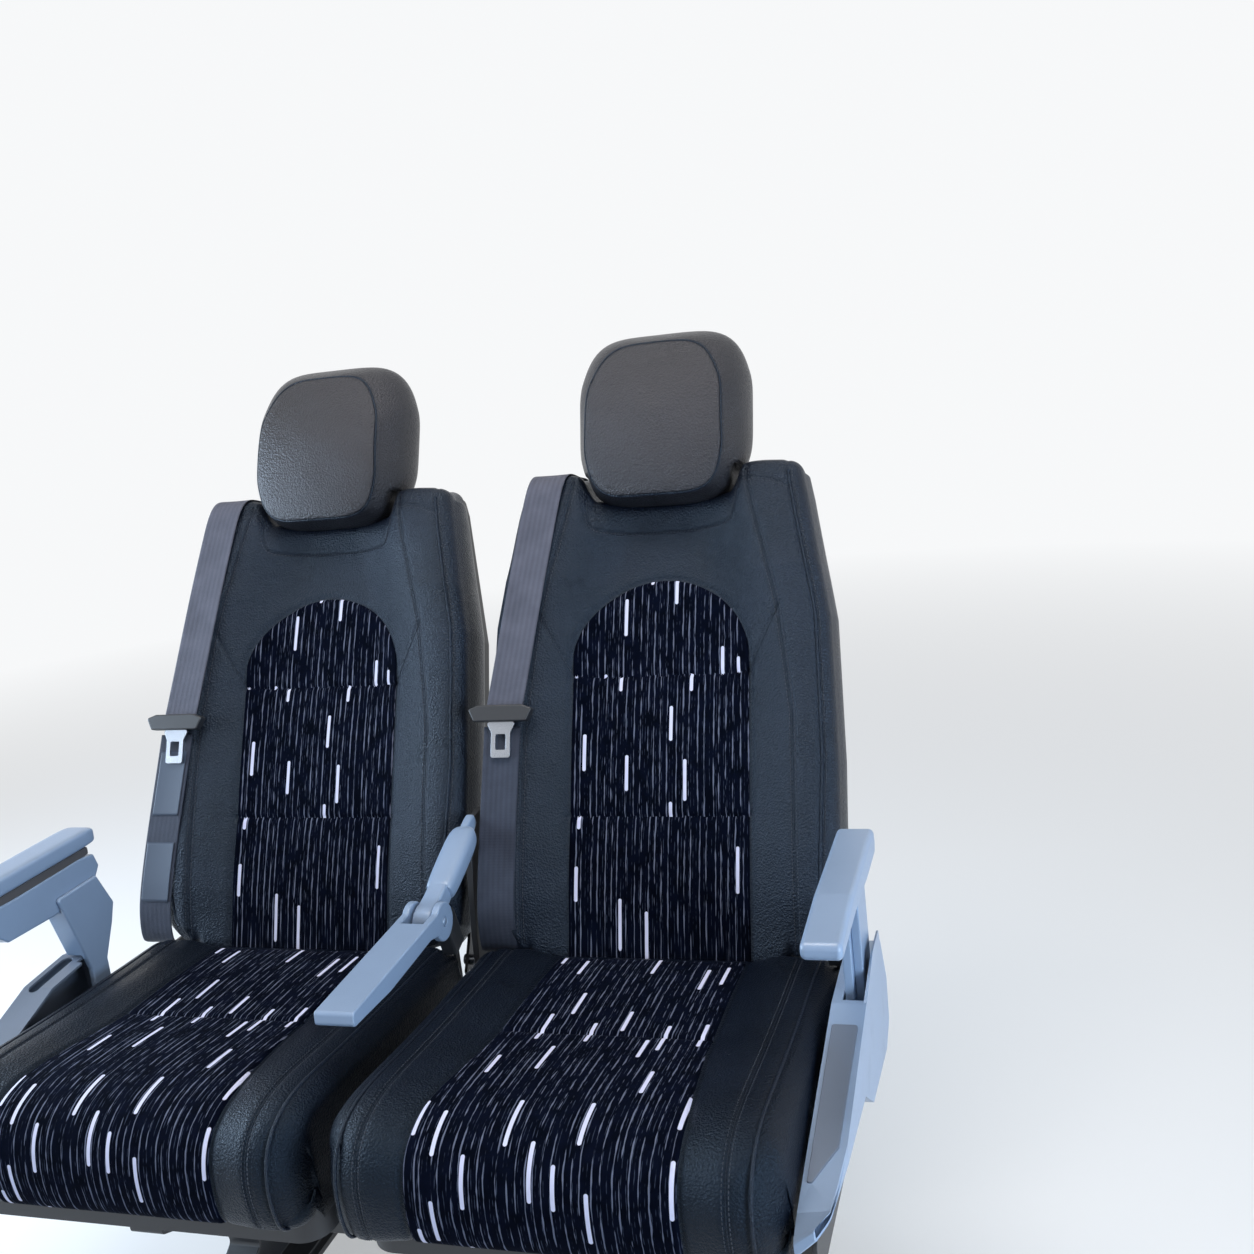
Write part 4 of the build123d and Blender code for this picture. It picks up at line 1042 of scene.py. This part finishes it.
# %% Webbing finish
def webbing_finish(name, dark, pale):
    """Relief is a sum of three cosines: wide ribs, single cords, and a weft that the cords push aside."""
    recipe = Recipe(name, dark, 0.62, Specular_IOR_Level=0.2, Sheen_Weight=0.1, Sheen_Roughness=0.4)
    scaled = recipe.node("ShaderNodeMapping", {"Vector": recipe.coordinates.outputs["UV"],
                                               "Scale": (1000, 1000, 1000)})
    made = recipe.tree.nodes.new("ShaderNodeSeparateXYZ")
    recipe.put(made.inputs[0], scaled)
    across, along = made.outputs[0], made.outputs[1]
    wide = recipe.math("COSINE", recipe.math("MULTIPLY", across, 2 * math.pi / 7.1))
    cord = recipe.math("COSINE", recipe.math("MULTIPLY", across, 2 * math.pi / 1.45))
    weft = recipe.math("COSINE", recipe.math("ADD", recipe.math("MULTIPLY", along, 2 * math.pi / 1.9),
                                             recipe.math("MULTIPLY", cord, 1.5)))
    height = recipe.math("ADD", recipe.math("MULTIPLY", wide, 0.22), recipe.math("ADD", recipe.math(
        "MULTIPLY", cord, 0.3), recipe.math("MULTIPLY", weft, 0.25)))
    uneven = recipe.noise(scaled, 0.03, 3)
    tone = recipe.math("ADD", recipe.math("MULTIPLY", wide, 0.11), recipe.math("ADD", uneven, recipe.math(
        "MULTIPLY", weft, 0.06)))
    colour = recipe.mix(recipe.between(tone, 0.15, 0.95), (*dark, 1), (*pale, 1))
    return recipe.finish(colour, None, recipe.bump(height, 0.0005, 0.7))


grey_webbing = webbing_finish("grey_webbing", (0.060, 0.062, 0.082), (0.115, 0.117, 0.150))
black_webbing = webbing_finish("black_webbing", (0.022, 0.027, 0.042), (0.046, 0.053, 0.078))

# %% [markdown]
# ### Plastics and steels
# Moulded plastic has a spark-eroded texture of fine grains and a slow unevenness in gloss. Coated
# steel has orange peel; bright steel has lines left by the polishing belt.

# %% Plastic and steel finishes
def plastic_finish(name, colour, rough, grain=2600, depth=0.00006):
    """Fine grains as relief; tone within 3 percent and gloss drift with a slow noise."""
    recipe = Recipe(name, colour, rough)
    space = recipe.object_space()
    grains = recipe.noise(space, grain, 2, 0.6)
    slow = recipe.noise(space, 14, 3, 0.55)
    darker, lighter = ((*(c * share for c in colour), 1) for share in (0.97, 1.03))
    tinted = recipe.mix(recipe.between(slow, 0.3, 0.7), darker, lighter)
    roughness = recipe.math("ADD", recipe.between(slow, 0.3, 0.7, rough - 0.015, rough + 0.015),
                            recipe.math("MULTIPLY", recipe.math("SUBTRACT", grains, 0.5), 0.12))
    return recipe.finish(tinted, roughness, recipe.bump(grains, depth, 0.8))


def steel_finish(name, colour, rough, metallic, stretch):
    """One noise, stretched along the polishing lines, gives the relief and the gloss."""
    recipe = Recipe(name, colour, rough, metallic)
    space = recipe.object_space(stretch)
    lines = recipe.noise(space, 900, 3, 0.6)
    slow = recipe.noise(recipe.object_space(), 20, 3)
    tinted = recipe.mix(recipe.between(slow, 0.3, 0.7), (*(c * 0.85 for c in colour), 1), (*colour, 1))
    return recipe.finish(tinted, recipe.between(lines, 0.3, 0.7, rough - 0.06, rough + 0.08),
                         recipe.bump(lines, 0.00004, 0.6))


FINISHES = {
    "black_leather": black_leather, "stripe_fabric": stripe_fabric, "grey_webbing": grey_webbing,
    "black_webbing": black_webbing,
    "black_plastic": plastic_finish("black_plastic", (0.018, 0.019, 0.022), 0.45),
    "dark_grey_plastic": plastic_finish("dark_grey_plastic", (0.115, 0.14, 0.185), 0.42),
    "grey_plastic": plastic_finish("grey_plastic", (0.23, 0.305, 0.425), 0.30),
    "core_plastic": plastic_finish("core_plastic", (0.085, 0.08, 0.082), 0.5),
    "label": plastic_finish("label", (0.026, 0.040, 0.068), 0.5, 700, 0.0001),
    "orange_plastic": plastic_finish("orange_plastic", (0.80, 0.085, 0.02), 0.35),
    "black_steel": steel_finish("black_steel", (0.02, 0.021, 0.024), 0.42, 0.0, (1, 1, 1)),
    "bright_steel": steel_finish("bright_steel", (0.38, 0.40, 0.44), 0.30, 1.0, (1, 8, 1)),
}
# Cushions take the darker copy of the leather, painted shade; backs take the plain one.
for piece in leather:
    piece.data.materials.append(seat_leather if "cushion" in piece.name else black_leather)
# Headrests take the paler copy of the leather, painted light.
for piece in heads:
    piece.data.materials.append(head_leather)
for piece in fabrics:
    piece.data.materials.append(stripe_fabric)
for piece in arm_parts:
    piece.data.materials.append(FINISHES["grey_plastic"])
window_core.data.materials.append(FINISHES["core_plastic"])
for piece in labels:
    piece.data.materials.append(FINISHES["label"])
for piece in straps:
    piece.data.materials.append(grey_webbing if "shoulder" in piece.name else black_webbing)
# Stitches take the paler thread, painted highlight.
for piece in threads:
    piece.data.materials.append(thread)
for piece in pipes:
    piece.data.materials.append(black_leather)

# %% [markdown]
# ### Softened edges
# A moulding or a pressing has no knife edges. A copy of each rigid CAD piece is merged into clean
# flat faces, its corners get a small bevel, and it stands in for the piece. On the way the shroud's
# copy is moved a little: its fin comes down and stands more upright, and its underside rises
# towards the aisle ahead of the post, where nothing slides.

# %% Softened copies
BODY_OF = {name: body for body, names in frame["record"]["behaviour"]["bodies"].items() for name in names}
HAND_MADE = ("centre_arm_sleeve", "window_arm_pad")
EDGE_MM = {"aisle_shroud": 2.6, "shroud_inset": 0.6, "aisle_arm_pad": 1.6, "aisle_arm_post": 1.6,
           "aisle_arm_cover": 1.6, "centre_armrest": 3.2, "window_arm_body": 3.6, "window_arm_bracket": 3.2,
           "window_cover": 2.6, "back_shell": 1.2, "pocket": 1.2, "tongue_grip": 0.8, "tongue_plate": 0.4,
           "belt_guide": 0.9, "buckle": 0.8, "buckle_button": 0.8, "leg": 1.0, "foot": 1.2,
           "front_tube": 2.0, "rear_tube": 2.0, "side_plate": 0.8, "centre_plate": 0.8}
SHROUD_LIFT, LIFT_TOP, LIFT_FULL = 34, 402, 372
FIN_FOOT, FIN_SHARE, LEAN_LESS, LEAN_REACH = 468, 0.55, 0.45, 9


def shroud_shape(points):
    """The underside's height plus a slope across it; above its foot the fin is scaled down and leans less."""
    x, y, z = points.T
    slope = np.clip((x - SHROUD_X) / (SHROUD_OUTER_X - SHROUD_X), 0, 1)
    lift = SHROUD_LIFT * slope * smooth(-75, -140, y)
    points[:, 2] = np.where(z < LIFT_TOP, z + lift * smooth(LIFT_TOP, LIFT_FULL, z), z)
    high = z > FIN_FOOT
    points[:, 2] = np.where(high, FIN_FOOT + (z - FIN_FOOT) * FIN_SHARE, points[:, 2])
    points[:, 0] = np.where(high, x - LEAN_LESS * np.clip(x - SHROUD_OUTER_X, -LEAN_REACH, LEAN_REACH), x)
    return points


RESHAPED = {"aisle_shroud": shroud_shape}


def soften(node, width_mm, name):
    """The node's mesh, merged and with flat neighbours joined, under a bevel of its sharper edges."""
    mesh = node.data.copy()
    work = bmesh.new()
    work.from_mesh(mesh)
    work.transform(node.matrix_world)
    bmesh.ops.remove_doubles(work, verts=work.verts, dist=1e-5)
    if node.name in RESHAPED:
        places = RESHAPED[node.name](np.array([tuple(vertex.co) for vertex in work.verts]) * 1000) / 1000
        for vertex, place in zip(work.verts, places):
            vertex.co = place
    bmesh.ops.dissolve_limit(work, angle_limit=math.radians(0.6), verts=work.verts, edges=work.edges)
    work.to_mesh(mesh)
    work.free()
    piece = bpy.data.objects.new(name, mesh)
    bpy.context.scene.collection.objects.link(piece)
    bevel = piece.modifiers.new("edges", "BEVEL")
    bevel.width, bevel.segments, bevel.limit_method = width_mm / 1000, 3, "ANGLE"
    bevel.angle_limit, bevel.use_clamp_overlap = math.radians(32), True
    mesh.polygons.foreach_set("use_smooth", np.ones(len(mesh.polygons), bool))
    even = piece.modifiers.new("shading", "WEIGHTED_NORMAL")
    even.keep_sharp = True
    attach(piece, BODY_OF[node.name])
    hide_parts(node.name)
    mesh.materials.clear()
    mesh.materials.append(FINISHES[slot_of[node.name]])
    return piece


# %% Finishes on the CAD nodes
slot_of = {}
for row in frame["record"]["materials"]:
    for name in row.get("nodes", []):
        slot_of[name] = row["slot"]
for name, thing in nodes.items():
    if name not in slot_of and thing.data.materials:
        slot_of[name] = thing.data.materials[0].name.split(".")[0]
    thing.data.materials.clear()
    thing.data.materials.append(FINISHES[slot_of[name]])
print({slot: sum(value == slot for value in slot_of.values()) for slot in FINISHES})

softened = []
for name, thing in list(nodes.items()):
    ending = [end for end in EDGE_MM if name == end or name.endswith("_" + end)]
    if ending and name not in HAND_MADE:
        softened.append(soften(thing, EDGE_MM[max(ending, key=len)], name + "_soft"))
print("softened:", len(softened))

# %% [markdown]
# ## Floor and light
# A pale floor and broad soft lamps, so that a colour renders about as it is written.

# %% Stage
BACKGROUND = (0.93, 0.94, 0.95, 1)


def seen(tree):
    """1 for camera, mirror and glass rays, 0 for the rays that carry light from surface to surface."""
    ray = tree.nodes.new("ShaderNodeLightPath")
    total = ray.outputs["Is Camera Ray"]
    for kind in ("Is Glossy Ray", "Is Transmission Ray"):
        most = tree.nodes.new("ShaderNodeMath")
        most.operation = "MAXIMUM"
        tree.links.new(total, most.inputs[0])
        tree.links.new(ray.outputs[kind], most.inputs[1])
        total = most.outputs[0]
    return total


def stage():
    """A pale floor that fades into the background a few metres out and keeps the seat's shadow."""
    floor = bpy.data.meshes.new("floor")
    corners = [(-40, -40, -0.001), (40, -40, -0.001), (40, 40, -0.001), (-40, 40, -0.001)]
    floor.from_pydata(corners, [], [(0, 1, 2, 3)])
    piece = bpy.data.objects.new("floor", floor)
    bpy.context.scene.collection.objects.link(piece)
    recipe = Recipe("floor", (0.5, 0.5, 0.5), 1.0, Specular_IOR_Level=0.0)
    reach = recipe.node("ShaderNodeVectorMath", {0: recipe.coordinates.outputs["Object"]}, "Value",
                        operation="LENGTH")
    far = recipe.between(reach, 1.2, 5.0)
    near_floor = recipe.math("SUBTRACT", 1.0, far)
    recipe.shader.inputs["Emission Color"].default_value = BACKGROUND
    recipe.put(recipe.shader.inputs["Emission Strength"], recipe.math(
        "MULTIPLY", seen(recipe.tree), recipe.between(far, 0, 1, 0.42, 1.0)))
    floor.materials.append(recipe.finish(recipe.mix(near_floor, (0, 0, 0, 1), (0.5, 0.5, 0.5, 1))))


def lamp(name, place, target, size, power, colour):
    """A rectangular area light at a place, turned so that it faces the target."""
    light = bpy.data.lights.new(name, "AREA")
    light.shape, light.size, light.size_y = "RECTANGLE", size[0], size[1]
    light.energy, light.color = power, colour
    holder = bpy.data.objects.new(name, light)
    holder.location = place
    holder.rotation_euler = (Vector(target) - Vector(place)).to_track_quat("-Z", "Y").to_euler()
    bpy.context.scene.collection.objects.link(holder)


stage()
lamp("window_light", (-2.2, -0.35, 1.05), (0, 0, 0.72), (2.0, 0.9), 88, (0.64, 0.81, 1.0))
lamp("overhead", (0.1, -0.4, 2.7), (0, 0, 0.7), (1.3, 0.7), 36, (1.0, 0.96, 0.93))
lamp("aisle_light", (2.2, -1.0, 0.7), (0, 0, 0.7), (0.8, 1.2), 54, (0.66, 0.82, 1.0))
lamp("front_fill", (0.8, -3.4, 1.8), (0, 0, 0.6), (1.2, 0.8), 8, (0.95, 0.97, 1.0))
daylight = bpy.data.lights.new("daylight", "SUN")
daylight.energy, daylight.angle, daylight.color = 0.3, math.radians(70), (0.90, 0.95, 1.0)
bpy.context.scene.collection.objects.link(bpy.data.objects.new("daylight", daylight))

world = bpy.data.worlds.new("studio")
bpy.context.scene.world = world
world.use_nodes = True
sky = world.node_tree
sky.nodes.clear()
plain, soft = sky.nodes.new("ShaderNodeBackground"), sky.nodes.new("ShaderNodeBackground")
plain.inputs[0].default_value, plain.inputs[1].default_value = BACKGROUND, 1.0
soft.inputs[0].default_value, soft.inputs[1].default_value = (0.80, 0.89, 1.0, 1), 0.16
choice, out = sky.nodes.new("ShaderNodeMixShader"), sky.nodes.new("ShaderNodeOutputWorld")
for source, target in ((seen(sky), choice.inputs[0]), (soft.outputs[0], choice.inputs[1]),
                       (plain.outputs[0], choice.inputs[2]), (choice.outputs[0], out.inputs[0])):
    sky.links.new(source, target)
bpy.context.scene.view_settings.view_transform = "Standard"
